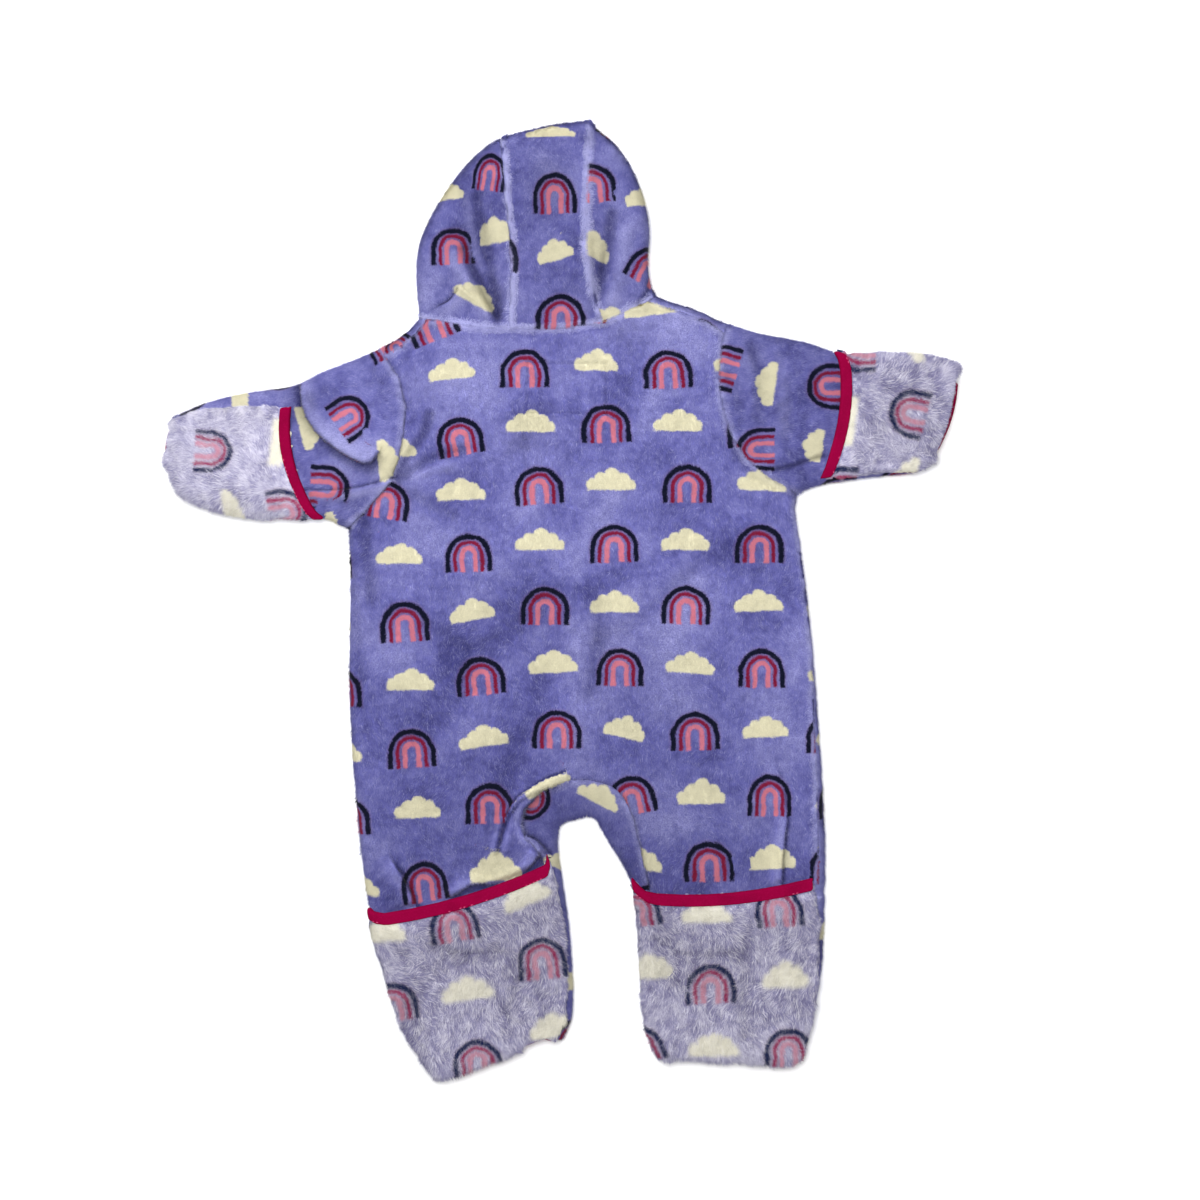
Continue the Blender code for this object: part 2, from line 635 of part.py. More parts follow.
def gusset_grid(limb, steps, table, depth):
    """A leg's share of the gusset, from the back seam round the inner edge to the front seam."""
    seam_station = steps / (steps + GUSSET_STEPS)
    stations = [seam_station + (1 - seam_station) * i / GUSSET_STEPS for i in range(GUSSET_STEPS + 1)]
    stations += [1 + i / ROLL_STEPS for i in range(1, ROLL_STEPS + 1)]
    stations += [2 + (1 - seam_station) * i / GUSSET_STEPS for i in range(1, GUSSET_STEPS + 1)]
    return limb.grid(leg_places(table), stations, depth)


def join_rows(*grids):
    """Grids one after the other, where the last row of one is the first row of the next."""
    rows = list(grids[0])
    for grid in grids[1:]:
        rows += grid[1:]
    return rows


def make_body():
    rows = body_rows()
    left_leg = leg_limb(LEG_LEFT, LEG_STEPS[0])
    right_leg = leg_limb(LEG_RIGHT, LEG_STEPS[1])
    hip_angle = BODY[-1][6]
    steps_left = body_columns()[0] + ROLL_STEPS

    def back(depth):
        return back_grid(rows, depth)

    def back_leg_left(depth):
        return leg_back(left_leg, LEG_STEPS[0], LEG_LEFT, True, LEFT_SEAM_ANGLE, depth)

    def back_leg_right(depth):
        return leg_back(right_leg, LEG_STEPS[1], LEG_RIGHT, False, hip_angle, depth)

    def whole_left(depth):
        return join_rows([row[:steps_left + 1] for row in back(depth)], back_leg_left(depth))

    def whole_right(depth):
        return join_rows([row[steps_left + 1:] for row in back(depth)], back_leg_right(depth))

    def middle(depth):
        return [row[steps_left:steps_left + 2] for row in back(depth)]

    last = len(rows) - 1
    left = borders(double(whole_left), "left", "first")
    right = borders(double(whole_right), "right", "first")
    left = tuple(seam_side(grid, "right", last) for grid in left)
    right = tuple(seam_side(grid, "left", last) for grid in right)
    centre = borders(double(middle), "first", "last")
    centre = tuple(shared_rim(grid, l, r, last) for grid, l, r in zip(centre, left, right))
    cloth("back", [left, right, centre], "plush")

    for side, limb, table, steps, angle in (
            ("left", left_leg, LEG_LEFT, LEG_STEPS[0], LEFT_SEAM_ANGLE),
            ("right", right_leg, LEG_RIGHT, LEG_STEPS[1], hip_angle)):
        def front(depth, side=side, limb=limb, table=table, steps=steps, angle=angle):
            return join_rows(front_grid(rows, side, depth), leg_front(limb, steps, table, angle, depth))
        cloth("front_" + side, [borders(double(front), "left", "right", "first")], "plush")

    def gusset(depth):
        one = gusset_grid(left_leg, LEG_STEPS[0], LEG_LEFT, depth)
        two = gusset_grid(right_leg, LEG_STEPS[1], LEG_RIGHT, depth)
        return one[::-1] + two

    cloth("gusset", [borders(double(gusset), "left", "right")], "plush")
    return left_leg, right_leg, rows


def seam_side(grid, side, first_row):
    """Draws back only the rows below the crotch, where the inside of the leg is a seam."""
    pulled = pull_in(grid, side)
    return [list(a) if i <= first_row else list(b) for i, (a, b) in enumerate(zip(grid, pulled))]


def shared_rim(grid, left, right, last):
    """Gives the middle column the same border points as the halves beside it."""
    for i in range(last):
        grid[i][0] = left[i][-1]
        grid[i][1] = right[i][0]
    grid[last][0] = left[last][-1]
    grid[last][1] = right[last][0]
    return grid


# ------------------------------------------------------------------------------------------- sleeves

def ring_stations(steps):
    """Stations once round a ring, the first repeated at the end."""
    stations = [i / steps for i in range(steps)]
    stations += [1 + i / ROLL_STEPS for i in range(ROLL_STEPS)]
    stations += [2 + i / steps for i in range(steps)]
    stations += [3 + i / ROLL_STEPS for i in range(ROLL_STEPS)]
    return stations + [0.0]


def make_sleeve(side, table, seam):
    limb = sleeve_limb(table, seam)
    places = [0.5 * k for k in range(2 * (len(table) - 1) + 1)]

    def ring(depth):
        return limb.grid(places, ring_stations(SLEEVE_STEPS), depth)

    cloth("sleeve_" + side, [borders(double(ring), "first")], "plush")
    return limb


# ---------------------------------------------------------------------------------------------- hood

def hood_section(table, place, seam_line, depth):
    """One side of the hood: top points from the seam out, roll points, and bottom points."""
    row = catmull(table, place)
    seam = row[0:2]
    edge = row[2:4]
    face = row[4:6]
    inward = (seam - edge) / np.linalg.norm(seam - edge)
    start = edge + inward * row[8]
    steps = len(seam_line) - 1
    top = []
    for i in range(steps + 1):
        t = i / steps
        plan = seam + (start - seam) * t
        share = max(0.0, 1 - place / HOOD_FADE) ** FADE_POWER
        if share > 0:
            straight = seam_line[0] + (seam_line[-1] - seam_line[0]) * t
            plan = plan + (seam_line[i] - straight) * share
        rise = row[6] + (row[7] - row[6]) * t * t * (3 - 2 * t)
        top.append((plan[0], plan[1], top_height(plan) + rise - depth))
    height = top[-1][2] + depth
    roll = [roll_point(start, edge, height, a, depth) for a in roll_angles(90, -90)[1:]]
    bottom = [(*(start + (face - start) * k / FACE_STEPS), depth) for k in range(1, FACE_STEPS + 1)]
    return top + roll + bottom


def make_hood():
    neck = neck_stations()
    count_left, count_middle, count_right = NECK_STEPS
    left_line = neck[count_left::-1]
    middle_line = neck[count_left:count_left + count_middle + 1]
    right_line = neck[count_left + count_middle:]
    places = [0.5 * k for k in range(2 * (len(HOOD_LEFT) - 1) + 1)]

    def left(depth):
        return [hood_section(HOOD_LEFT, place, left_line, depth) for place in places]

    def right(depth):
        return [hood_section(HOOD_RIGHT, place, right_line, depth) for place in places]

    def centre(depth):
        grid = []
        seams = [(a[0], b[0]) for a, b in zip(left(depth), right(depth))]
        after = min(count_left, count_right) - 1
        last_left = left(depth)[-1][count_left - after:]
        last_right = right(depth)[-1][count_right - after:]
        seams += list(zip(last_left, last_right))
        top_rows = len(places)
        for i, (a, b) in enumerate(seams):
            share = max(0.0, 1 - i / (2 * HOOD_FADE)) ** FADE_POWER
            crown = HOOD_CROWN * min(1.0, i / CROWN_ROWS)
            if i >= top_rows:
                crown *= max(0.0, 1 - (i - top_rows + 1) / END_ROWS)
            row = []
            for j in range(count_middle + 1):
                t = j / count_middle
                straight = middle_line[0] + (middle_line[-1] - middle_line[0]) * t
                bend = (middle_line[j] - straight) * share
                x, y, z = np.asarray(a) + (np.asarray(b) - np.asarray(a)) * t
                x += bend[0]
                y += bend[1]
                z += crown * 4 * t * (1 - t)
                if i >= top_rows:
                    y += HOOD_END_BOW * 4 * t * (1 - t) * min(1.0, z / HOOD_CREST)
                else:
                    at_seams = (1 - t) * fold_height(a[0], a[1]) + t * fold_height(b[0], b[1])
                    z += fold_height(x, y) - at_seams
                row.append((x, y, z))
            grid.append(row)
        return grid

    cloth("hood_side_left", [borders(double(left), "first", "left", "last")], "plush")
    cloth("hood_side_right", [borders(double(right), "first", "left", "last")], "plush")
    cloth("hood_centre", [borders(double(centre), "first", "left", "right")], "plush")


# --------------------------------------------------------------------------------------------- flaps

def mouth_place(limb, station, t, mouth):
    """The place along the limb where this station meets the mouth's sagging line, by halving."""
    x0, y0, x1, y1, sag = mouth
    chord = np.array((x1 - x0, y1 - y0))
    length = np.linalg.norm(chord)
    near, far = (np.array(limb.point(place, station, 0.0)[:2]) for place in MOUTH_DIRECTION)
    across = np.array((-chord[1], chord[0])) / length
    across *= math.copysign(1.0, across @ (far - near))
    low, high = MOUTH_SEARCH
    for _ in range(30):
        middle = (low + high) / 2
        past = (np.array(limb.point(middle, station, 0.0)[:2]) - np.array((x0, y0))) @ across
        if past < sag * 4 * t * (1 - t):
            low = middle
        else:
            high = middle
    return low


def make_flap(name, limb, last_place):
    """A flap over a limb, made from the limb's own points moved out, and its bound mouth."""
    first, last, first_end, last_end, *mouth, over_first, over_last, over_more = FLAPS[name]
    across, along = FLAP_STEPS
    shares = [j / across for j in range(across + 1)]
    overhangs = [over_first + (over_last - over_first) * t + over_more * 4 * t * (1 - t) for t in shares]
    stations = [first + (last - first) * t for t in shares]
    starts = [mouth_place(limb, station, t, mouth) for station, t in zip(stations, shares)]

    def grid(level, pressed, reaches):
        """Points at a level over the limb, and at the pressed level inside the binding."""
        rows = []
        for i in range(along + 1):
            row = []
            for t, station, start in zip(shares, stations, starts):
                bound = BINDING_WIDTH / spacing(limb, start, station)
                marks = [start] + [start + mark * bound for mark in BOUND_MARKS]
                rest = [marks[2] + (last_place - marks[2]) * k / (along - 2) for k in range(1, along - 1)]
                place = (marks + rest)[i]
                past = max(0, i - 2) / (along - 2)
                end = first_end + (last_end - first_end) * t
                height = pressed if i < 2 else level
                row.append(limb.point(place, station + (end - station) * past, -height))
            rows.append(row)
        return rows + fold_over(rows, reaches)

    low = LAID + BINDING_WALL + SEAM
    outer = grid(LAID + FLUFF, low + PRESSED, overhangs)
    inner = grid(LAID, low, [max(LEAST_FOLD_REACH, overhang - FLUFF + 1.0) for overhang in overhangs])
    cloth(name, [(outer, inner)], "reverse")
    make_mouth_binding(name.replace("flap", "binding"), limb, stations, starts, low)


def fold_over(rows, reaches):
    """The flap's fold at the limb's end, turning down past it."""
    top = BODY_HEIGHT + LAID + FLUFF
    made = []
    for angle in FLAP_FOLD_ANGLES:
        a = math.radians(angle)
        row = []
        for here, before, reach in zip(rows[-1], rows[-2], reaches):
            here = np.array(here)
            out = here - np.array(before)
            out[2] = 0.0
            out /= np.linalg.norm(out)
            drop = FLAP_DROP * here[2] / top * (1 - math.sin(a))
            row.append(here + out * reach * math.cos(a) - np.array((0.0, 0.0, drop)))
        made.append(row)
    return made


def spacing(limb, place, station):
    """Millimetres along the limb for one step of place."""
    a = np.array(limb.point(place, station, 0.0))
    b = np.array(limb.point(place + 0.5, station, 0.0))
    return np.linalg.norm(a - b) * 2


def make_mouth_binding(name, limb, stations, starts, low):
    """The binding folded over a flap's mouth: an upper and a lower lip joined past the edge."""
    high = low + PRESSED + 1.4 * SEAM
    under = low - SEAM
    upper = BINDING_WIDTH * LIP_UPPER
    lower = BINDING_WIDTH * LIP_LOWER
    inner = -BINDING_INNER_BACK
    outer = -BINDING_OUTER_BACK
    back_low, back_high = BINDING_BACK_ROUND
    loop = [
        (upper, high), (0.0, high + BINDING_ROUND), (inner, high - BINDING_ROUND),
        (inner, under + BINDING_ROUND), (0.0, under), (lower, under), (lower, LAID), (inner, LAID),
        (outer, LAID + back_low), (outer, high - back_high), (inner, high + BINDING_WALL),
        (upper, high + BINDING_WALL),
    ]
    rings = []
    for station, start in zip(stations, starts):
        step = spacing(limb, start, station)
        rings.append([limb.point(start + along / step, station, -level) for along, level in loop])
    solid_loft(name, rings, "binding")


def solid_loft(name, rings, look):
    """A solid bar through closed rings of points, with flat ends."""
    bm = bmesh.new()
    verts = [[bm.verts.new([float(value) * MM for value in p]) for p in ring] for ring in rings]
    count = len(rings[0])
    for a, b in zip(verts, verts[1:]):
        for k in range(count):
            bm.faces.new([a[k], a[(k + 1) % count], b[(k + 1) % count], b[k]])
    bm.faces.new(verts[0][::-1])
    bm.faces.new(verts[-1])
    bmesh.ops.recalc_face_normals(bm, faces=bm.faces)
    mesh = bpy.data.meshes.new(name)
    bm.to_mesh(mesh)
    bm.free()
    obj = bpy.data.objects.new(name, mesh)
    obj.data.materials.append(LOOKS[look])
    COLLECTION.objects.link(obj)
    return obj


def make_hem(name, limb, last_place, stations):
    """The bound edge of a limb's front layer: a rounded bar along the end of the bottom wall."""
    rings = []
    for station in stations:
        here = np.array(limb.point(last_place, station, 0.0))
        before = np.array(limb.point(last_place - HEM_LOOK_BACK, station, 0.0))
        out = here - before
        out[2] = 0.0
        out /= np.linalg.norm(out)
        ring = []
        corner = 1 / math.cos(math.pi / HEM_SIDES)
        for k in range(HEM_SIDES):
            a = 2 * math.pi * (k + 0.5) / HEM_SIDES
            flat = HEM_BAR / 2 * (1 + math.cos(a) * corner) + SEAM
            rise = HEM_BAR / 2 * (1 + math.sin(a) * corner)
            point = here + out * flat
            ring.append((point[0], point[1], rise))
        rings.append(ring)
    solid_loft(name, rings, "binding")


# ----------------------------------------------------------------------------------------------- zip

def shortened(pair, towards, amount):
    """A pair of points moved by an amount towards the next pair."""
    return tuple(p + (q - p) / np.linalg.norm(q - p) * amount for p, q in zip(pair, towards))


def make_zip(rows):
    """A plain closed zip down the middle of the front, its slider at the neck."""
    column = body_columns()[0]
    line = [(np.array(plan[column]), np.array(plan[column + 1])) for plan, _, _, _ in rows]
    neck = (line[0][0] + line[0][1]) / 2
    line[0] = shortened(line[0], line[1], SLIDER_LENGTH + 3 * SEAM)
    line[-1] = shortened(line[-1], line[-2], 2 * SEAM)
    teeth = ZIP_TEETH_WIDTH / 2
    rings = []
    for a, b in line:
        middle = (a + b) / 2
        width = np.linalg.norm(b - a)
        across = (b - a) / width
        half = width / 2 - SEAM
        profile = [
            (-half, ZIP_LOW + ZIP_TAPE), (-half, ZIP_LOW), (-teeth, ZIP_LOW), (-teeth + TEETH_SLOPE, LAID),
            (teeth - TEETH_SLOPE, LAID), (teeth, ZIP_LOW), (half, ZIP_LOW), (half, ZIP_LOW + ZIP_TAPE),
        ]
        rings.append([(*(middle + across * s), z) for s, z in profile])
    solid_loft("zip", rings, "zip")
    slider = []
    for share, half in SLIDER_SHAPE:
        y = neck[1] - SEAM - share * SLIDER_LENGTH
        slider.append([(neck[0] + side * half, y, z) for side, z in
                       ((-1, SLIDER_TOP), (-1, SLIDER_LOW), (1, SLIDER_LOW), (1, SLIDER_TOP))])
    solid_loft("zip_slider", slider, "zip")


# --------------------------------------------------------------------------------------------- build

for old in list(bpy.data.objects):
    bpy.data.objects.remove(old, do_unlink=True)

COLLECTION = bpy.data.collections.new("bunting_suit")
bpy.context.scene.collection.children.link(COLLECTION)
LOOKS = {name: material(name, colour) for name, colour in COLOURS.items()}

LEFT_LEG, RIGHT_LEG, BODY_ROWS = make_body()
LEFT_SLEEVE = make_sleeve("left", SLEEVE_LEFT, ARMHOLE_LEFT)
RIGHT_SLEEVE = make_sleeve("right", SLEEVE_RIGHT, ARMHOLE_RIGHT)
make_hood()
make_zip(BODY_ROWS)
for flap_name, flap_limb, flap_table in (
        ("sleeve_flap_left", LEFT_SLEEVE, SLEEVE_LEFT),
        ("sleeve_flap_right", RIGHT_SLEEVE, SLEEVE_RIGHT),
        ("leg_flap_left", LEFT_LEG, LEG_LEFT),
        ("leg_flap_right", RIGHT_LEG, LEG_RIGHT)):
    make_flap(flap_name, flap_limb, len(flap_table) - 1)
    hem_stations = [HEM_START - k / (HEM_STATIONS - 1) for k in range(HEM_STATIONS)]
    make_hem(flap_name.replace("flap", "hem"), flap_limb, len(flap_table) - 1, hem_stations)
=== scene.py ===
# %% [markdown]
# # A baby's plush bunting suit, laid flat on its front
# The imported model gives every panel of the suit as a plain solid. This script dresses it: each
# panel becomes a sheet of plush with its folds, print and pile, and the bindings get their cloth.
# Lengths in tables are millimetres unless a comment says otherwise. Blender's unit is the metre.

import functools
import math

import bmesh
import bpy
import numpy as np
from mathutils import Matrix, Vector
from mathutils.bvhtree import BVHTree
from mathutils.kdtree import KDTree


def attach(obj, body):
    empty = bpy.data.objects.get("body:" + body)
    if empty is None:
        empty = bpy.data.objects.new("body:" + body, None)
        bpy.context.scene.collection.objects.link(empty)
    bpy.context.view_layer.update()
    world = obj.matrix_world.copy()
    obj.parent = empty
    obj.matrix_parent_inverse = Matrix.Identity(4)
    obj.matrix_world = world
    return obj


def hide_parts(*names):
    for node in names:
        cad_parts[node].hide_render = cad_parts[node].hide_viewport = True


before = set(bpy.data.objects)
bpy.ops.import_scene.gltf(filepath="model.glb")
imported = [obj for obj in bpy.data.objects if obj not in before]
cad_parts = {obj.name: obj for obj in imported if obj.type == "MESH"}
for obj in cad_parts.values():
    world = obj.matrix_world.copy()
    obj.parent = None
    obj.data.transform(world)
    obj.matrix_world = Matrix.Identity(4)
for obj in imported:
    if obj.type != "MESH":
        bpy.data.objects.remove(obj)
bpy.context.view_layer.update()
MM = 0.001


def linked(name, data):
    """A new object with this data, in the scene."""
    obj = bpy.data.objects.new(name, data)
    bpy.context.scene.collection.objects.link(obj)
    return obj


def object_from(bm, name):
    """A new object with the bmesh's shape. The bmesh is freed."""
    mesh = bpy.data.meshes.new(name)
    bm.to_mesh(mesh)
    bm.free()
    return linked(name, mesh)


def tree_of(places):
    """A search tree over the places, each under its own number."""
    tree = KDTree(len(places))
    for k, place in enumerate(places):
        tree.insert(place, k)
    tree.balance()
    return tree


# %% [markdown]
# The picture that this follows looks straight down on the suit. A long lens keeps the view nearly
# parallel, so a fold that stands up hardly shifts. The frame is 840 mm wide at the suit's height.

# %% Camera
FRAME_WIDE = 0.84
LENS = 85.0
SUIT_LEVEL = 0.007
view_centre = (0.0252, 0.0007)

camera_data = bpy.data.cameras.new("camera")
camera_data.lens = LENS
camera = linked("camera", camera_data)
distance = FRAME_WIDE * LENS / camera_data.sensor_width
camera.location = (*view_centre, SUIT_LEVEL + distance)
bpy.context.scene.camera = camera
print(f"camera {distance:.2f} m above the suit")

# %% [markdown]
# A white floor, an even sky and two large soft lamps. One hangs near the camera, so that cloth that
# turns away grows darker, and one stands lower, beyond the hood, to shade the folds.

# %% Floor and light
def make_floor(size=6.0):
    bm = bmesh.new()
    bmesh.ops.create_grid(bm, x_segments=1, y_segments=1, size=size / 2)
    floor = object_from(bm, "floor")
    paper = bpy.data.materials.new("floor")
    paper.use_nodes = True
    finish = paper.node_tree.nodes["Principled BSDF"].inputs
    finish["Base Color"].default_value = (0.97, 0.97, 0.97, 1.0)
    finish["Roughness"].default_value = 0.9
    floor.data.materials.append(paper)


def make_lamp(name, place, size, power):
    """A round lamp that points at the middle of the suit."""
    data = bpy.data.lights.new(name, "AREA")
    data.shape = "DISK"
    data.size = size
    data.energy = power
    lamp = linked(name, data)
    lamp.location = place
    lamp.rotation_euler = (-Vector(place)).to_track_quat("-Z", "Y").to_euler()


make_floor()
make_lamp("key", (-0.5, 1.3, 1.0), 0.5, 18.0)
make_lamp("overhead", (-0.1, 0.15, 1.95), 0.7, 36.0)
world = bpy.data.worlds.new("room")
world.use_nodes = True
sky = world.node_tree.nodes["Background"].inputs
sky["Color"].default_value = (1.0, 1.0, 1.0, 1.0)
sky["Strength"].default_value = 0.36
bpy.context.scene.world = world
bpy.context.scene.view_settings.view_transform = "Standard"

# %% [markdown]
# Shader maths reads badly as boxes and wires. One small class wraps a socket, so that sums are
# written as Python, and one method adds any other node.

# %% Shader maths
class Value:
    """A shader socket that takes part in Python sums."""

    def __init__(self, look, socket):
        self.look = look
        self.socket = socket

    def maths(self, operation, *others):
        values = dict(enumerate((self, *others)))
        return self.look.node("ShaderNodeMath", {"operation": operation}, values)

    def __rsub__(self, other):
        return self.look.node("ShaderNodeMath", {"operation": "SUBTRACT"}, {0: other, 1: self})

    def fade(self, start, stop):
        """0 up to start and 1 from stop on, as a soft step. Start may be above stop."""
        values = {"Value": self, "From Min": start, "From Max": stop}
        return self.look.node("ShaderNodeMapRange", {"interpolation_type": "SMOOTHSTEP"}, values)


for method, operation in {
        "__add__": "ADD", "__radd__": "ADD", "__sub__": "SUBTRACT", "__mul__": "MULTIPLY",
        "__rmul__": "MULTIPLY", "__pow__": "POWER", "__abs__": "ABSOLUTE", "most": "MAXIMUM",
        "least": "MINIMUM"}.items():
    setattr(Value, method, functools.partialmethod(Value.maths, operation))


class Look:
    """A material under construction."""

    def __init__(self, name):
        self.material = bpy.data.materials.new(name)
        self.material.use_nodes = True
        self.tree = self.material.node_tree
        self.shader = self.tree.nodes["Principled BSDF"]

    def node(self, kind, settings=None, values=None, output=0):
        made = self.tree.nodes.new(kind)
        for key, setting in (settings or {}).items():
            setattr(made, key, setting)
        for key, value in (values or {}).items():
            self.put(made.inputs[key], value)
        return Value(self, made.outputs[output])

    def put(self, socket, value):
        if isinstance(value, Value):
            self.tree.links.new(value.socket, socket)
        else:
            socket.default_value = value

    def set(self, **values):
        """Puts values on the shader: Base_Color is its Base Color."""
        for key, value in values.items():
            self.put(self.shader.inputs[key.replace("_", " ")], value)

    def mix(self, share, first, second):
        """The first colour where share is 0, the second where it is 1."""
        first, second = ((*c, 1.0) if isinstance(c, tuple) else c for c in (first, second))
        made = self.tree.nodes.new("ShaderNodeMix")
        made.data_type = "RGBA"
        for index, value in ((0, share), (6, first), (7, second)):
            self.put(made.inputs[index], value)
        return Value(self, made.outputs[2])

    def noise(self, scale, detail=2.0, place=None, output=0):
        values = {"Scale": scale, "Detail": detail, "Vector": place or self.place()}
        return self.node("ShaderNodeTexNoise", {}, values, output)

    def place(self):
        return self.node("ShaderNodeTexCoord", output="Object")

    def attribute(self, name, output="Fac"):
        return self.node("ShaderNodeAttribute", {"attribute_name": name}, output=output)

    def bump(self, distance, height):
        values = {"Strength": 0.4, "Distance": distance, "Height": height}
        self.set(Normal=self.node("ShaderNodeBump", {}, values))

    def parts(self, vector):
        made = self.tree.nodes.new("ShaderNodeSeparateXYZ")
        self.put(made.inputs[0], vector)
        return [Value(self, socket) for socket in made.outputs]


print("shader maths is ready")

# %% [markdown]
# The print is a plain nursery one: arches of navy, magenta and pink, and cream clouds. Each vertex
# of the cloth carries where it lies from the middle of its nearest motif, in millimetres, in the
# motif's own upright frame. So an arch is a few distances, and a cloud is a heap of circles, and
# both follow the cloth round a fold. Short pile blurs their edges, so the edges get fine noise.

# %% The print
PLUSH = {
    "ground": (0.136, 0.136, 0.412), "pale": (0.48, 0.48, 0.80), "deep": (0.048, 0.048, 0.215),
    "navy": (0.0008, 0.0022, 0.016), "magenta": (0.205, 0.006, 0.036),
    "pink": (0.600, 0.180, 0.250), "cream": (0.700, 0.660, 0.470),
    "blush": (0.185, 0.120, 0.290),     # ground between the arch's bands, tinted by their dye
}
REVERSE = {
    "ground": (0.300, 0.285, 0.475), "pale": (0.74, 0.72, 0.81), "deep": (0.170, 0.155, 0.310),
    "navy": (0.003, 0.010, 0.062), "magenta": (0.300, 0.028, 0.095),
    "pink": (0.540, 0.250, 0.340), "cream": (0.790, 0.760, 0.640),
    "blush": (0.350, 0.270, 0.390),
}

ARCH_FOOT = -12.4                   # where the arch's legs end
ARCH_SPRING = -3.0                  # the height from which its outer band's curve springs
BANDS = {"navy": (0.0, 13.6, 17.2), "magenta": (1.5, 8.6, 11.4), "pink": (2.2, 3.2, 6.7)}
CLOUD_PUFFS = [
    (0.8, 3.0, 6.0), (-6.9, 0.9, 5.1), (8.0, 0.5, 5.2), (-12.8, -2.5, 4.5), (13.2, -3.0, 4.0),
]
CLOUD_BASE = -6.3
CLOUD_FILL = (16.5, 8.0)            # half the width and the height of the mound under the puffs
WAVER = 2.4                         # how far an outline strays
TINT = 0.35                         # how much dye lies between the bands
TINT_REACH = 2.2


def add_print(look, ground, fuzz, colours):
    """The ground's colour with the motifs over it. Fuzz is the blur of an edge, in millimetres.
    Long fur, with a fuzz above 1, blurs a pale cloud more than a dark band."""
    across, up, kind = look.parts(look.attribute("motif", "Vector"))
    slow = look.parts(look.noise(130.0, 1.0, output="Color"))
    fine = look.parts(look.noise(1100.0, 1.0, output="Color"))
    across, up = (value + (slow[k] - 0.5) * WAVER + (fine[k] - 0.5) * (2.0 * fuzz)
                  for k, value in enumerate((across, up)))

    def band(name):
        rise, low, high = BANDS[name]
        over = (up - (ARCH_SPRING + rise)).most(0.0)
        distance = (across * across + over * over) ** 0.5
        half = (high - low) / 2
        near = abs(distance - (low + half))
        return near.fade(half + fuzz / 2, half - fuzz / 2), near.fade(half + TINT_REACH, half)

    legs = up.fade(ARCH_FOOT - fuzz / 2, ARCH_FOOT + fuzz / 2)
    is_arch = kind.fade(0.45, 0.55) * legs
    colour = ground
    for name in ("pink", "magenta", "navy"):
        dyed, tinted = band(name)
        colour = look.mix(tinted * is_arch * TINT, colour, colours["blush"])
        colour = look.mix(dyed * is_arch, colour, colours[name])

    spot = look.node("ShaderNodeCombineXYZ", {}, {"X": across, "Y": up})
    cloud = None
    for x, y, radius in CLOUD_PUFFS:
        puff = look.node("ShaderNodeVectorMath", {"operation": "DISTANCE"},
                         {0: spot, 1: (x, y, 0.0)}, output="Value") - radius
        cloud = puff if cloud is None else cloud.least(puff)
    wide, high = CLOUD_FILL
    base = up - CLOUD_BASE
    blur = fuzz * fuzz
    squeezed = across * (high / wide)
    cloud = cloud.least((squeezed * squeezed + base * base) ** 0.5 - high)
    is_cloud = (0.0 - kind).fade(0.45, 0.55) * base.fade(-blur / 2, blur / 2)
    return look.mix(cloud.fade(blur / 2, -blur / 2) * is_cloud, colour, colours["cream"])


print("bands:", BANDS)

# %% [markdown]
# Plush has no single colour: where the pile leans towards the light it is pale, and where it leans
# away it is deep. Slow noise stands for those strokes of the hand, finer noise for the tufts. Along
# a seam the pile splays open and looks paler; the attribute "edge" says how near the panel's edge
# is. On the crest of a fold the pile splays too and gets a painted highlight, and in a trough it
# gets painted shade, as the tufts hide each other from the light. Both, with painted patches of nap
# sheen and shade, are the fold shading attribute, above 0 on a crest.

# %% Plush and its long-haired reverse
def make_plush(name, colours, fuzz, splay, strand):
    """The cloth's finish. Splay is how much paler it is at a seam, and strand how much one hair
    differs from the next. Without strand, the finish is for the sheet under the hairs."""
    look = Look(name)
    pale, deep = colours["pale"], colours["deep"]
    place = look.place()
    swirl = look.noise(17.0, 2.0, place)
    brush = look.noise(40.0, 2.0, place)
    tuft = look.noise(170.0, 3.0, place)
    hair = look.noise(1000.0, 2.0, place)
    nap = (swirl - 0.5) * 1.2 + (brush - 0.5) * 0.8 + (tuft - 0.5) * 0.4
    light = nap.fade(-0.1, 0.5) * (hair.fade(0.3, 0.7) * 0.9 + 0.3)
    dark = nap.fade(0.06, -0.45)
    base = look.mix(dark * 0.8, colours["ground"], deep)
    base = look.mix(light * 0.55, base, pale)
    base = look.mix(look.attribute("edge").fade(4.5, 0.5) * (tuft * 0.8 + 0.1) * splay, base, pale)
    # Painted light and shade of the folds: a painted highlight on crests, painted shade in troughs
    # and under lips.
    fold = look.attribute("fold")
    trough_shade = (0.0 - fold).most(0.0)
    base = look.mix((fold.most(0.0) * (hair + 0.1)).least(0.6), base, pale)
    base = look.mix((trough_shade * 0.9).least(0.9), base, deep)
    shade = dark * 0.12 + trough_shade.least(1.0) * 0.4
    if strand:
        tone = look.attribute("tone")
        dull = (0.0 - tone).most(0.0)
        # A hair is painted darker towards its root, as shade where the hairs hide each other from
        # the light.
        root = 1.0 - look.attribute("along")
        base = look.mix((tone.most(0.0) * strand).least(0.85), base, pale)
        base = look.mix((dull * 0.4 + root * 0.2) * strand, base, deep)
        shade = shade + root * 0.1 + dull * (strand * 0.2)
    colour = add_print(look, base, fuzz, colours)
    if strand:
        colour = look.mix((tone.most(0.0) * (strand * 0.25 - 0.06)).least(0.6), colour, pale)
    shade = shade + hair.fade(0.6, 0.2) * 0.06 + tuft.fade(0.6, 0.3) * 0.06
    colour = look.mix(shade, colour, (0.0, 0.0, 0.0))
    look.set(Base_Color=colour, Roughness=0.85, Specular_IOR_Level=0.1,
             Sheen_Weight=0.15, Sheen_Roughness=0.5)
    look.bump(0.001, tuft * 0.6 + hair * 0.4)
    return look.material


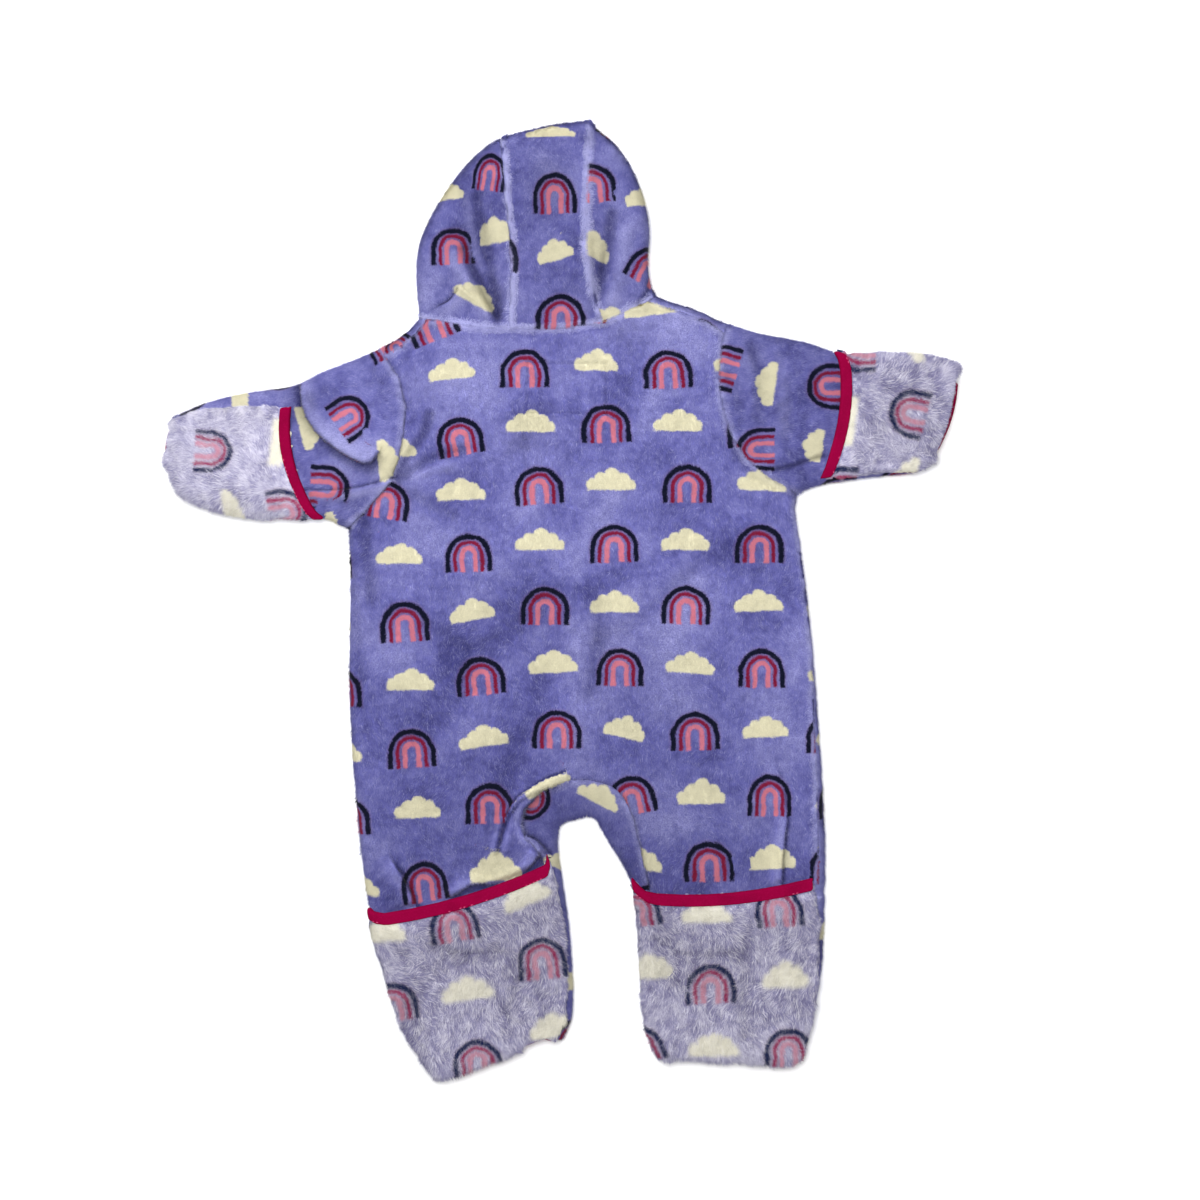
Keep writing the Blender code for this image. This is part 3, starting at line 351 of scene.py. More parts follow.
plush = make_plush("plush", PLUSH, 1.0, 0.6, 0.0)
plush_pile = make_plush("plush_pile", PLUSH, 1.3, 0.6, 0.3)
reverse = make_plush("reverse", REVERSE, 2.0, 0.0, 0.0)
reverse_pile = make_plush("reverse_pile", REVERSE, 2.0, 0.0, 0.7)
print("materials:", [m.name for m in bpy.data.materials])

# %% [markdown]
# The places of the motifs, panel by panel. A repeat would run straight across the cloth, but cut
# and sewn panels turn it and folds shorten it, so each motif has its own row: its kind, its middle
# across and down the picture in 0.7 mm steps, the angle of its up, and its width and height. A row
# leaves out what is as usual at its end.

# %% Where the motifs lie
STEP = 0.7
PICTURE_ORIGIN = (564.0, 601.0)
A = 1.0                             # an arch
C = -1.0                            # a cloud
USUAL = (90, 1, 1)                  # angle, width and height
MOTIFS = {
    "back": [
        (A, 432, 324, 112), (A, 591, 306, 88, 0.96), (C, 648, 308, 97, 1.3, 0.9), (C, 512, 314, 95),
        (C, 452, 371, 97, 0.95, 0.95), (A, 525, 370), (C, 596, 362, 88, 0.9), (A, 668, 371, 92),
        (C, 738, 362), (C, 392, 447), (A, 460, 438, 100, 0.95), (C, 531, 423), (A, 606, 425, 92),
        (C, 678, 422), (A, 750, 427, 98, 1, 1.05), (A, 386, 501, 82), (C, 461, 491, 92),
        (A, 539, 487, 94), (C, 611, 481), (A, 687, 485), (C, 762, 481, 87, 1.02, 1.1),
        (C, 400, 555, 90, 0.95, 0.95), (A, 469, 554, 92, 0.95), (C, 540, 541), (A, 614, 545, 92),
        (C, 685, 541), (A, 759, 545), (A, 327, 560), (C, 325, 622), (A, 405, 623, 94, 1, 1.05),
        (C, 472, 611, 101, 0.92), (A, 545, 607), (C, 614, 603), (A, 686, 606, 88),
        (C, 758, 602, 92), (A, 338, 689), (C, 411, 681, 90, 0.98), (A, 481, 677, 95),
        (C, 553, 663, 92, 1.02, 1.05), (A, 620, 668, 89, 0.95), (C, 690, 664, 86),
        (A, 761, 669, 90, 0.95, 1.02), (C, 832, 672), (C, 338, 752), (A, 412, 749, 94, 0.98, 1.02),
        (C, 484, 737, 99, 1.02), (A, 557, 730), (C, 625, 728, 78, 0.85, 1.05), (A, 695, 732, 91),
        (C, 765, 728, 93, 0.95), (A, 830, 735), (A, 346, 817, 93), (C, 418, 808, 92, 0.95),
        (A, 490, 804, 92, 1, 1.05), (C, 547, 782, 112, 0.95), (A, 631, 796, 101, 1, 1.02),
        (C, 701, 793, 91, 1, 1.15), (A, 769, 796, 90, 0.9, 1.1), (C, 840, 802), (C, 355, 886, 88),
        (A, 425, 882, 99, 0.94, 1.05), (C, 496, 868, 94, 1.05, 1.35), (C, 638, 860, 85, 1, 1.05),
        (A, 709, 862, 91, 1.03, 1.05), (C, 771, 858, 92, 1, 1.1), (A, 832, 866, 92),
    ],
    "gusset": [
        (A, 532, 799, -28, 0.9, 0.9), (C, 600, 795, 62, 0.9, 0.9), (C, 566, 862, 70, 0.9, 0.9),
        (A, 652, 905, 60), (C, 560, 980), (A, 575, 1040), (C, 640, 1000, 95),
    ],
    "front_left": [
        (A, 396, 346, 118, 0.75, 0.8), (C, 352, 560, 70), (C, 345, 640),
    ],
    "front_right": [
        (A, 843, 800, 92), (C, 793, 868), (C, 842, 736), (A, 844, 672), (C, 838, 930),
        (A, 700, 340, 60), (C, 832, 607),
    ],
    "hood_centre": [
        (C, 551, 134, 90, 1.02, 0.55), (A, 555, 198, 91, 0.88, 1.08),
        (C, 555, 254, 106, 0.76, 0.95), (A, 561, 316, 88, 1.02), (A, 494.5, 256, 88), (A, 628, 256),
    ],
    "hood_side_left": [
        (A, 490.5, 176, 81, 0.66), (C, 495.5, 235, 99, 0.8, 1.2), (A, 454, 249, 93, 0.92, 0.93),
        (C, 450, 194, 96, 0.6, 0.85), (C, 476, 296, 62, 0.9, 0.95), (C, 500, 132, 80, 0.8, 0.6),
        (C, 402, 222, 100),
    ],
    "hood_side_right": [
        (A, 592, 188, 97, 0.98, 1.05), (C, 589, 247, 68, 0.95, 1.15), (C, 645, 199, 95, 0.9, 0.9),
        (A, 651, 269, 63, 0.95), (C, 610, 320, 80), (A, 618, 132, 60, 0.8, 0.6),
    ],
    "sleeve_left": [
        (A, 352, 417, 35, 0.9, 0.95), (C, 309, 427, 14, 0.95), (A, 329.5, 489, -4, 0.95, 1.06),
        (C, 388, 461, 5, 0.85), (A, 282, 368, -8, 0.9), (C, 240, 396, 10, 0.9, 0.9),
        (A, 188, 388, 24), (C, 332, 516, 0, 0.7, 0.8), (A, 386, 345, 118, 0.75, 0.8),
    ],
    "sleeve_right": [
        (A, 720, 367, 164, 0.92), (C, 766, 384, 171, 0.9), (A, 826, 387, 180, 0.94),
        (A, 756, 449.6, 180, 0.86), (C, 813, 447, 172, 0.75, 0.95), (A, 838, 500, 178),
        (A, 900, 486, 178), (C, 770, 512, 170, 0.9),
    ],
    "sleeve_flap_left": [
        (A, 216, 453, -4, 0.87, 0.98), (A, 289, 513, 8, 0.95), (C, 282, 445, -5), (C, 235, 514, 5),
        (C, 192, 384, 10),
    ],
    "sleeve_flap_right": [
        (A, 906, 413, 166, 0.95), (A, 856, 350, 178), (A, 837, 491, 176),
        (C, 846, 422, 172, 1, 0.9), (C, 914, 341, 176), (C, 905, 478, 170, 0.8), (A, 968, 470, 170),
    ],
    "leg_flap_left": [
        (A, 455, 921, 101, 0.98), (C, 526, 893, 113, 1, 1.1), (A, 542, 957, 97, 0.97, 1.1),
        (C, 468, 987, 98, 1.08, 1.15), (A, 394, 1001, 101, 1, 1.02), (A, 478, 1056, 92),
        (C, 553, 1024, 100, 0.95, 1.2), (C, 385, 930, 96, 0.85, 1.1),
    ],
    "leg_flap_right": [
        (A, 635, 907, 97), (C, 706, 911, 90, 1, 0.95), (A, 778, 906, 93, 0.98),
        (A, 710.5, 982, 92, 1.04, 1.05), (C, 785, 974, 92, 0.95, 1.25), (C, 648, 966, 95, 1, 1.2),
        (A, 787, 1046, 91, 1, 1.05), (C, 713, 1043, 90, 1, 1.2), (A, 640, 1044, 108),
    ],
}


def in_model(across, down):
    """A place in the picture's steps, as millimetres on the model."""
    return (across - PICTURE_ORIGIN[0]) * STEP, (PICTURE_ORIGIN[1] - down) * STEP


def placed(rows):
    """The rows as numbers in the model's own frame: kind, x, y, the up direction, width, height."""
    made = []
    for kind, across, down, *rest in rows:
        angle, wide, high = (*rest, *USUAL[len(rest):])
        a = math.radians(angle)
        made.append((kind, *in_model(across, down), math.cos(a), math.sin(a), wide, high))
    return np.array(made)


print("motifs:", {node: len(rows) for node, rows in MOTIFS.items()})

# %% [markdown]
# Soft folds. The CAD already has the broad ones. Here come the sharper ones: a lip is a line where
# the cloth laps over and drops on one side, and a crease is a narrow trough. A slow, low noise
# keeps every open stretch from being dead flat.

# %% Folds
def on_model(*steps):
    """A line given in the picture's steps, in millimetres on the model, its corners cut twice."""
    line = np.array([in_model(*step) for step in steps])
    for _ in range(2):
        near, far = line[:-1], line[1:]
        cut = np.stack([0.75 * near + 0.25 * far, 0.25 * near + 0.75 * far], axis=1).reshape(-1, 2)
        line = np.concatenate([line[:1], cut[1:-1], line[-1:]])
    return line


# Lips: the rise, how far it reaches back from the line, the drop's width, and the share of the line
# over which the lip runs out towards its last point. Then comes the line, in the picture's steps.
# Along the line, the high side is on the left.
LIPS = [(on_model(*line), *shape) for shape, *line in (
    ((7.0, 30, 2.6, 0.0), (297, 372), (301, 378), (305, 394), (305, 408), (314, 426), (329, 442),
     (346, 454), (364, 463), (373, 463), (380, 452)),
    ((2.4, 12, 4.0, 0.0), (566, 771), (548, 777), (528, 788), (515, 798), (508, 812), (503, 828),
     (499, 848)),
    ((3.0, 12, 2.0, 0.1), (498, 849), (503, 828), (509, 812), (520, 798), (533, 791), (552, 785),
     (570, 779)),
    ((6.0, 22, 2.6, 0.1), (452, 896), (472, 880), (499, 884), (520, 876), (537, 858), (541, 843)),
    ((4.5, 20, 2.0, 0.6), (418, 908), (404, 876), (392, 860), (386, 846)),
    ((4.0, 16, 2.0, 0.5), (460, 288), (450, 302), (438, 308), (420, 315)),
    ((3.4, 12, 1.6, 0.0), (393, 479), (370, 486), (340, 491), (304, 491)),
    ((3.0, 16, 2.6, 0.8), (781, 884), (783, 845), (788, 812), (778, 770), (768, 735)),
    ((3.2, 9, 2.0, 0.1), (549, 851), (541, 843), (536, 838), (525, 834), (521, 824), (523, 810),
     (533, 797), (550, 789)),
)]
ELBOW_LIP, RIM_LIP = LIPS[0][0], LIPS[1][0]
# Creases: the depth (a ridge has a depth below 0), half the width, and the line in steps.
CREASES = [(on_model(*line), depth, width) for depth, width, *line in (
    (-1.2, 2.8, (511, 326), (512, 290), (512, 240), (509, 214), (506, 190), (503, 160)),
    (-1.2, 2.8, (602, 321), (591, 297), (588, 250), (586, 210), (589, 170), (590, 145)),
    (-1.0, 2.4, (434, 323), (467, 327), (511, 328), (557, 329), (602, 322), (627, 312), (644, 304)),
    (-2.2, 5.0, (453, 256), (468, 284), (487, 312)),
    (3.6, 3.6, (464, 250), (480, 282), (497, 316)),
    (2.4, 4.0, (476, 198), (484, 240), (499, 310)),
    (-1.4, 4.5, (470, 200), (474, 240), (484, 270)),
    (2.4, 4.0, (612, 216), (606, 262), (595, 312)),
    (-1.4, 5.0, (627, 232), (621, 268), (612, 300)),
    (2.6, 2.6, (639, 304), (648, 291), (651, 281)),
    (2.6, 1.8, (768, 471), (790, 466), (822, 456)),
    (1.6, 4.0, (750, 345), (760, 380), (757, 420)),
    (-1.2, 5.0, (775, 350), (784, 385), (780, 430)),
    (2.2, 4.0, (394, 483), (412, 470), (436, 456), (462, 450)),
    (2.4, 3.6, (396, 474), (408, 455), (424, 436), (430, 415)),
    (1.4, 5.0, (400, 490), (425, 498), (452, 515)),
    (-1.4, 4.0, (416, 474), (436, 468), (455, 466)),
    (1.6, 4.0, (795, 492), (770, 482), (752, 470), (735, 452)),
    (1.2, 4.0, (722, 372), (733, 388), (738, 410)),
    (1.8, 5.0, (365, 520), (368, 560), (372, 600)),
    (1.2, 5.0, (353, 560), (356, 620), (360, 680)),
    (0.9, 6.0, (425, 625), (470, 650), (500, 640)),
    (1.3, 6.0, (596, 600), (600, 640), (590, 690)),
    (0.8, 6.0, (700, 560), (640, 620), (600, 640)),
    (0.7, 1.1, (527, 363), (606, 363)),
    (0.7, 1.1, (527, 413), (606, 413)),
    (0.7, 1.1, (527, 363), (527, 413)),
    (0.7, 1.1, (606, 363), (606, 413)),
    (1.0, 3.0, (511, 330), (543, 330), (604, 326)),
    (1.8, 4.5, (432, 940), (460, 950), (500, 946)),
    (1.4, 5.0, (505, 1010), (520, 980), (515, 950)),
    (1.2, 5.0, (395, 945), (410, 980), (408, 1010)),
    (1.5, 5.0, (742, 940), (748, 985), (742, 1030)),
    (1.4, 4.5, (655, 935), (690, 952), (735, 948)),
)]
# Painted patches of sheen and shade, where a hand has brushed the pile's nap: across and down the
# picture, the reach across and down, all in its steps, and how much paler. Below 0 it is darker.
PAINTED_NAP_PATCHES = [
    (545, 190, 28, 42, -0.45), (800, 300, 60, 70, -0.32), (570, 870, 280, 120, -0.42),
    (640, 690, 120, 60, -0.14), (525, 612, 60, 40, -0.20), (400, 700, 60, 70, -0.12),
    (300, 380, 26, 60, -0.15), (612, 312, 60, 20, 0.32), (645, 332, 50, 20, 0.18),
    (440, 388, 42, 20, 0.28), (522, 440, 44, 26, 0.24), (350, 460, 20, 44, 0.2),
    (558, 705, 30, 30, 0.15), (346, 560, 14, 90, 0.12),
]
# A crease this deep gets its full painted shade.
CREASE_FULL = 4.0                   # the depth of a crease that looks fully dark
LIP_END = 3.0                       # how soon a lip fades past the ends of its line
FACES_UP, FULLY_UP = 0.15, 0.75     # upward shares of a normal, from no rise to the full one
RIPPLES = [(0.7, 46.0, 21), (0.25, 17.0, 22)]   # height, wave length and seed
FOLD_REACH = 5.0                    # how far from a line the triangles are made smaller
FINE = 1.5                          # triangle size, in millimetres, next to such a line


def away_from_line(points, line):
    """Distance from a line of points in millimetres, which side of it, and how far along it as a
    share. The share is below 0 or above 1 for a spot past the line's ends."""
    best = np.full(len(points), 1e9)
    side = np.zeros(len(points))
    way = np.zeros(len(points))
    last = len(line) - 2
    for k, (start, stop) in enumerate(zip(line, line[1:])):
        along = stop - start
        length = np.linalg.norm(along)
        along = along / length
        offset = points[:, :2] - start
        reach = offset @ along
        share = np.clip(reach, 0.0, length)
        gap = offset - share[:, None] * along
        distance = np.linalg.norm(gap, axis=1)
        nearer = distance < best
        best[nearer] = distance[nearer]
        side[nearer] = (along[0] * offset[:, 1] - along[1] * offset[:, 0])[nearer]
        here = (k + share / length) / (last + 1)
        here[(k == 0) & (reach < 0)] = -1.0
        here[(k == last) & (reach > length)] = 2.0
        way[nearer] = here[nearer]
    return best, np.sign(side), way


def soft(x):
    x = np.clip(x, 0.0, 1.0)
    return x * x * (3 - 2 * x)


def ripple(points, wave, seed):
    """Slow bumps between -1 and 1, from a few sine waves in seeded directions."""
    rng = np.random.default_rng(seed)
    total = np.zeros(len(points))
    for _ in range(7):
        angle = rng.uniform(0, 2 * math.pi)
        size = wave * rng.uniform(0.7, 1.5)
        phase = rng.uniform(0, 2 * math.pi)
        along = points[:, 0] * math.cos(angle) + points[:, 1] * math.sin(angle)
        total += np.sin(along * 2 * math.pi / size + phase)
    return total / 4.0


def folded(points, normals, free):
    """The points raised by lips, creases and ripples, and the folds' painted light and shade, about
    -1
    to 1: painted shade under a lip and in a crease, a painted highlight on a lip's crest and a
    ridge, plus painted nap patches. Only cloth that faces up is raised, and free is 0 where a tape
    holds it down."""
    up = soft((normals[:, 2] - FACES_UP) / (FULLY_UP - FACES_UP))
    rise = np.zeros(len(points))
    fold_light_and_shade = np.zeros(len(points))
    for line, height, reach, drop, run_out in LIPS:
        distance, side, way = away_from_line(points, line)
        end = np.where((way < 0) | (way > 1), np.exp(-distance / LIP_END), 1.0)
        if run_out:
            end *= soft((1 - way.clip(0, 1)) / run_out)
        high = np.where(side >= 0, 1 - soft(distance / reach), 0.0) * soft(0.5 + distance / drop)
        low = np.where(side < 0, (1 - soft(0.5 + distance / drop)), 0.0)
        rise += height * (high + low) * end
        # A painted highlight along the lip's crest on its high side, a painted shadow on its low
        # side.
        crest_highlight = 0.6 * np.exp(-((distance - 3.5) / (0.2 * reach)) ** 2)
        shadow = np.exp(-(distance / (0.8 * height)) ** 2)
        fold_light_and_shade += np.where(side >= 0, crest_highlight, -shadow) * end
    for line, depth, width in CREASES:
        distance, _, _ = away_from_line(points, line)
        bell = np.exp(-(distance / width) ** 2)
        rise -= depth * bell
        # A crease gets painted shade, a ridge a painted highlight.
        fold_light_and_shade -= depth / CREASE_FULL * bell
    # Painted patches of nap sheen and shade, added to the folds' painted light and shade.
    for across, down, wide, long, amount in PAINTED_NAP_PATCHES:
        x, y = in_model(across, down)
        away_x = (points[:, 0] - x) / (wide * STEP)
        away_y = (points[:, 1] - y) / (long * STEP)
        fold_light_and_shade += amount * np.exp(-(away_x ** 2 + away_y ** 2))
    rise += sum(height * ripple(points, wave, seed) for height, wave, seed in RIPPLES)
    points = points.copy()
    points[:, 2] += rise * up * free
    return points, fold_light_and_shade * up


print("lips:", len(LIPS), "creases:", len(CREASES))

# %% [markdown]
# A panel starts as a copy of the CAD node. Only its outer face is wanted, so the inner face and the
# rims go. Its triangles are long and thin, which is fine for a solid but can't bend in a fold. So
# long edges are halved, and the diagonals turned, until all triangles are small and even. A few
# rounds of smoothing then take away the facets. A Remesh modifier would melt the thin seams shut.

# %% From a CAD node to an even sheet
WELD = 2e-5
SHARP = math.radians(50)
SEAM_CLOSE = 0.0004                 # each panel reaches this far over the gap that the solids keep
SLIT_SIDES = 9                      # a thin triangle leaves a slit of few sides; an edge has dozens


def outer_face(bm, top):
    """Keeps the largest smooth region, the outer wall. With top, only faces that look up count."""
    left = set(bm.faces)
    regions = []
    while left:
        found = {left.pop()}
        todo = list(found)
        while todo:
            for edge in todo.pop().edges:
                if len(edge.link_faces) == 2 and edge.calc_face_angle(0.0) < SHARP:
                    for face in edge.link_faces:
                        if face in left:
                            left.remove(face)
                            found.add(face)
                            todo.append(face)
        regions.append(found)
    keep = max(regions, key=lambda faces: sum(
        face.calc_area() * (face.normal.z > 0 or not top) for face in faces))
    bmesh.ops.delete(bm, geom=[face for face in bm.faces if face not in keep], context="FACES")


def halve(bm, edges, sharpest=math.inf):
    """Halves the edges and turns diagonals, but none over a corner as sharp as this or sharper."""
    bmesh.ops.subdivide_edges(bm, edges=edges, cuts=1)
    bmesh.ops.triangulate(bm, faces=bm.faces)
    inner = [edge for edge in bm.edges
             if not edge.is_boundary and edge.calc_face_angle(0.0) < sharpest]
    bmesh.ops.beautify_fill(bm, faces=bm.faces, edges=inner, method="ANGLE")


def even_out(bm, size, melt=3):
    """Halves every edge above the size, in metres, until the triangles are even. The first few
    rounds, as many as melt says, also smooth."""
    for k in range(6):
        long = [edge for edge in bm.edges if edge.calc_length() > size]
        if not long:
            break
        halve(bm, long, SHARP)
        if k < melt:
            smooth_out(bm, 1, 0.3)


def smooth_out(bm, rounds, factor=0.5):
    inner = [vert for vert in bm.verts if not vert.is_boundary]
    for _ in range(rounds):
        bmesh.ops.smooth_vert(bm, verts=inner, factor=factor, use_axis_x=True, use_axis_y=True,
                              use_axis_z=True)


def refine_folds(bm):
    """Smaller triangles along the lips and creases, so that these can be sharp."""
    lines = [line for line, *_ in LIPS + CREASES]
    for _ in range(2):
        middles = np.array([(edge.verts[0].co + edge.verts[1].co) / 2 for edge in bm.edges]) / MM
        near = np.min([away_from_line(middles, line)[0] for line in lines], axis=0) < FOLD_REACH
        long = [edge for edge, close in zip(bm.edges, near)
                if close and edge.calc_length() > FINE * MM]
        if long:
            halve(bm, long)
    smooth_out(bm, 1)


def copy_of(node):
    """The CAD node's mesh as a bmesh, with its doubled vertices merged."""
    bm = bmesh.new()
    bm.from_mesh(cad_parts[node].data)
    bmesh.ops.remove_doubles(bm, verts=bm.verts, dist=WELD)
    return bm


def sheet_from(node, size, top=False):
    """The node's outer wall as an open, smooth, even mesh."""
    bm = copy_of(node)
    outer_face(bm, top)
    slits = [edge for edge in bm.edges if edge.is_boundary]
    bmesh.ops.holes_fill(bm, edges=slits, sides=SLIT_SIDES)
    even_out(bm, size)
    smooth_out(bm, 4)
    refine_folds(bm)
    return object_from(bm, node + "_cloth")


def neighbours(vert):
    return [edge.other_vert(vert) for edge in vert.link_edges]


def turn_edges_in(mesh, depth):
    """The border gets a narrow skirt, bent under, as the cloth's edge turns into a seam."""
    bm = bmesh.new()
    bm.from_mesh(mesh)
    lean = {vert: vert.normal.copy() for vert in bm.verts if vert.is_boundary}
    reach = {}
    for vert in lean:
        inside = [other.co for other in neighbours(vert) if not other.is_boundary]
        if inside:
            reach[vert] = (vert.co - sum(inside, Vector()) / len(inside)).normalized()
    border = [edge for edge in bm.edges if edge.is_boundary]
    made = bmesh.ops.extrude_edge_only(bm, edges=border)["geom"]
    new = {item for item in made if isinstance(item, bmesh.types.BMVert)}
    for vert in new:
        root = next(other for other in neighbours(vert) if other in lean)
        vert.co -= lean[root] * depth
    for vert, outward in reach.items():
        vert.co += outward * SEAM_CLOSE
    for edge in border:
        edge.smooth = False
    bm.to_mesh(mesh)
    bm.free()


def fetch(items, key, parts, kind=np.float32):
    """One property of every item in a collection, as an array with a row for each."""
    flat = np.empty(len(items) * parts, kind)
    items.foreach_get(key, flat)
    return flat.reshape(-1, parts)


def points_of(mesh):
    return fetch(mesh.vertices, "co", 3).astype(float) / MM


def normals_of(mesh):
    return fetch(mesh.vertex_normals, "vector", 3).astype(float)


def set_points(mesh, points):
    mesh.vertices.foreach_set("co", (points * MM).astype(np.float32).ravel())
    mesh.update()


test = sheet_from("hood_centre", 0.003)
print("a trial sheet has", len(test.data.polygons), "faces")
bpy.data.objects.remove(test)

# %% [markdown]
# The bindings are a smooth knitted tape, folded over the edge of each flap, and the same tape hems
# the cuffs. Their CAD shapes are right but coarse, so each gets a rounder copy. The knit is a fine
# noise whose raised crests get a painted highlight, over slow, darker patches. A low row of
# stitches runs along each binding's fur side. The zip underneath keeps its CAD shape.

# %% Bindings, hems and zip
# The strength of the painted highlight on the knit's crests.
KNIT_CREST_HIGHLIGHT = 0.3                           # how pale the knit's crests are


def make_tape(name, colour, pale):
    look = Look(name)
    place = look.place()
    knit = look.noise(1100.0, 2.0, place)
    slow = look.noise(60.0, 2.0, place)
    shade = look.mix(slow.fade(0.35, 0.75) * 0.4, colour, tuple(c * 0.6 for c in colour))
    # A painted highlight on the knit's raised crests.
    shade = look.mix(knit.fade(0.45, 0.8) * KNIT_CREST_HIGHLIGHT, shade, pale)
    look.set(Base_Color=shade, Roughness=0.9, Specular_IOR_Level=0.03)
    look.bump(0.0004, knit)
    return look.material


def round_copy(node, size, rounds):
    """The CAD node's own shape with finer, softer faces."""
    bm = copy_of(node)
    even_out(bm, size, 0)
    smooth_out(bm, rounds)
    obj = object_from(bm, node + "_tape")
    obj.data.shade_smooth()
    return obj


binding = make_tape("binding", (0.212, 0.0003, 0.031), (0.33, 0.003, 0.06))
thread = make_tape("thread", (0.62, 0.080, 0.200), (0.80, 0.25, 0.38))
zip_cloth = make_tape("zip", (0.20, 0.19, 0.40), (0.35, 0.34, 0.55))
tapes = {}
for name, node in list(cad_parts.items()):
    if "binding" in name or "hem" in name:
        tapes[name] = round_copy(name, 0.0018, 2)
        tapes[name].data.materials.append(binding)
        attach(tapes[name], "root")
        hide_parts(name)
    elif "zip" in name:
        node.data.materials.clear()
        node.data.materials.append(zip_cloth)
print("tapes:", {name: len(obj.data.polygons) for name, obj in tapes.items()})


UP = Vector((0.0, 0.0, 1.0))
TAPE_TOP = 0.2                      # the least upward share of a normal on a tape's top side
# Where the fur leaves a hem bare: across and down the picture, and a radius, all in its steps.
BARE_HEMS = [(935, 405, 60), (168, 430, 15), (552, 1047, 26), (680, 1060, 24)]


def is_bare(place):
    """Whether a place, in metres, lies where a hem is bare."""
    across = place.x / MM / STEP + PICTURE_ORIGIN[0]
    down = PICTURE_ORIGIN[1] - place.y / MM / STEP
    return any(math.dist((across, down), (x, y)) < radius for x, y, radius in BARE_HEMS)


def footprint(kind, covers=()):
    """The plan of one kind of tape, from the faces that look up, in millimetres: a tree of their
    corners and middles, and the height of each. With covers, only faces on a bare stretch of a hem
    with none of the covers over them."""
    plan = []
    for name, obj in tapes.items():
        for face in obj.data.polygons:
            if kind in name and face.normal.z > TAPE_TOP:
                clear = all(cover.ray_cast(face.center, UP)[0] is None for cover in covers)
                if clear and (is_bare(face.center) or not covers):
                    plan += [face.center / MM]
                    plan += [obj.data.vertices[k].co / MM for k in face.vertices]
    return tree_of([(x, y, 0.0) for x, y, _ in plan]), np.array([point[2] for point in plan])


def cover_of(mesh):
    return BVHTree.FromPolygons([vert.co for vert in mesh.vertices],
                                [face.vertices[:] for face in mesh.polygons])


binding_plan = footprint("binding")
hem_plan = footprint("hem", [cover_of(node.data) for name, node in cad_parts.items()
                             if "hem" not in name])
print("open hem, points:", len(hem_plan[1]))


def near_tape(points, plan):
    """For each point, its distance from the tape in the plan, and the tape's height there."""
    tree, heights = plan
    found = [tree.find((x, y, 0.0))[1:] for x, y, _ in points]
    return np.array([gap for _, gap in found]), heights[[index for index, _ in found]]


STITCH_PITCH = 2.7
STITCH = (0.95, 0.34, 0.30)         # half of a stitch's length, width and height
STITCH_INSET = 1.2                  # from the binding's edge
STITCH_SIDE = 0.3                   # the least upward share of a normal where thread may lie
KNOT_PITCH, KNOT_REACH = 2.0, 2.5   # how often the edge is felt, and how far to either side


def stitch_row(name, axis, way):
    """The row of stitches along a binding's edge. The binding runs along one axis of the plan, and
    its fur side lies towards way on the other."""
    mesh = tapes[name].data
    points, normals = points_of(mesh), normals_of(mesh)
    top = points[normals[:, 2] > STITCH_SIDE]
    other = 1 - axis
    knots = []
    first, last = top[:, axis].min() + KNOT_PITCH, top[:, axis].max() - KNOT_PITCH
    for at in np.arange(first, last, KNOT_PITCH):
        near = top[np.abs(top[:, axis] - at) < KNOT_REACH]
        edge = near[np.argmax(way * near[:, other])]
        knots.append([at, edge[other] - way * STITCH_INSET])
    knots = np.array(knots)
    for _ in range(3):
        knots[1:-1] = (knots[:-2] + 2 * knots[1:-1] + knots[2:]) / 4
    if axis:
        knots = knots[:, ::-1]
    steps = np.linalg.norm(np.diff(knots, axis=0), axis=1)
    run = np.concatenate([[0.0], np.cumsum(steps)])
    tree = tree_of([(x, y, 0.0) for x, y, _ in top])
    size = Matrix.Diagonal((*(half * MM for half in STITCH), 1.0))
    bm = bmesh.new()
    for middle in np.arange(STITCH_PITCH, run[-1] - STITCH_PITCH, STITCH_PITCH):
        here, ahead = (np.array([np.interp(middle + step, run, knots[:, k]) for k in (0, 1)])
                       for step in (0.0, 0.5))
        height = np.mean([top[index][2] for _, index, _ in tree.find_n((*here, 0.0), 4)])
        turn = Matrix.Rotation(math.atan2(*(ahead - here)[::-1]), 4, "Z")
        place = Matrix.Translation(Vector((*here, height + STITCH[2] / 2)) * MM) @ turn
        bmesh.ops.create_icosphere(bm, subdivisions=1, radius=1.0, matrix=place @ size)
    obj = object_from(bm, name + "_stitches")
    obj.data.materials.append(thread)
    obj.data.shade_smooth()
    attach(obj, "root")
    return obj


stitches = [stitch_row(name, axis, way) for name, axis, way in (
    ("leg_binding_left", 0, -1), ("leg_binding_right", 0, -1),
    ("sleeve_binding_left", 1, -1), ("sleeve_binding_right", 1, 1))]
print("stitch faces:", sum(len(obj.data.polygons) for obj in stitches))

# %% [markdown]
# Every vertex learns its nearest motif and the way to the panel's edge. Round a rolled side the
# cloth goes on while the plan stands still, so the plan point is first moved out by the length of
# cloth that the roll hides.

# %% Motif and edge attributes
ROLL_RADIUS = 5.8
SEAM_DIP = 0.2                      # how far a panel sinks at its seams
SEAM_REACH = 1.8
SKIRT = 0.003                       # in metres
CUT_REACH = 20.0                    # how far from a cut a motif is kept to its own side
CUT_COST = 9.0                      # what it counts for a motif to lie over a cut
ARCH_REACH, CLOUD_REACH = 15.0, 9.0     # up and down, about half of what a motif covers
SIDE_REACH = 17.5


def unrolled(points, normals):
    """Plan points laid out flat: each is moved along its lean by the arc that the roll hides."""
    level = np.linalg.norm(normals[:, :2], axis=1)
    tilt = np.arctan2(level, np.abs(normals[:, 2]))
    hidden = ROLL_RADIUS * (tilt - np.sin(tilt))
    outward = normals[:, :2] / np.maximum(level, 1e-6)[:, None]
    return points[:, :2] + outward * hidden[:, None]


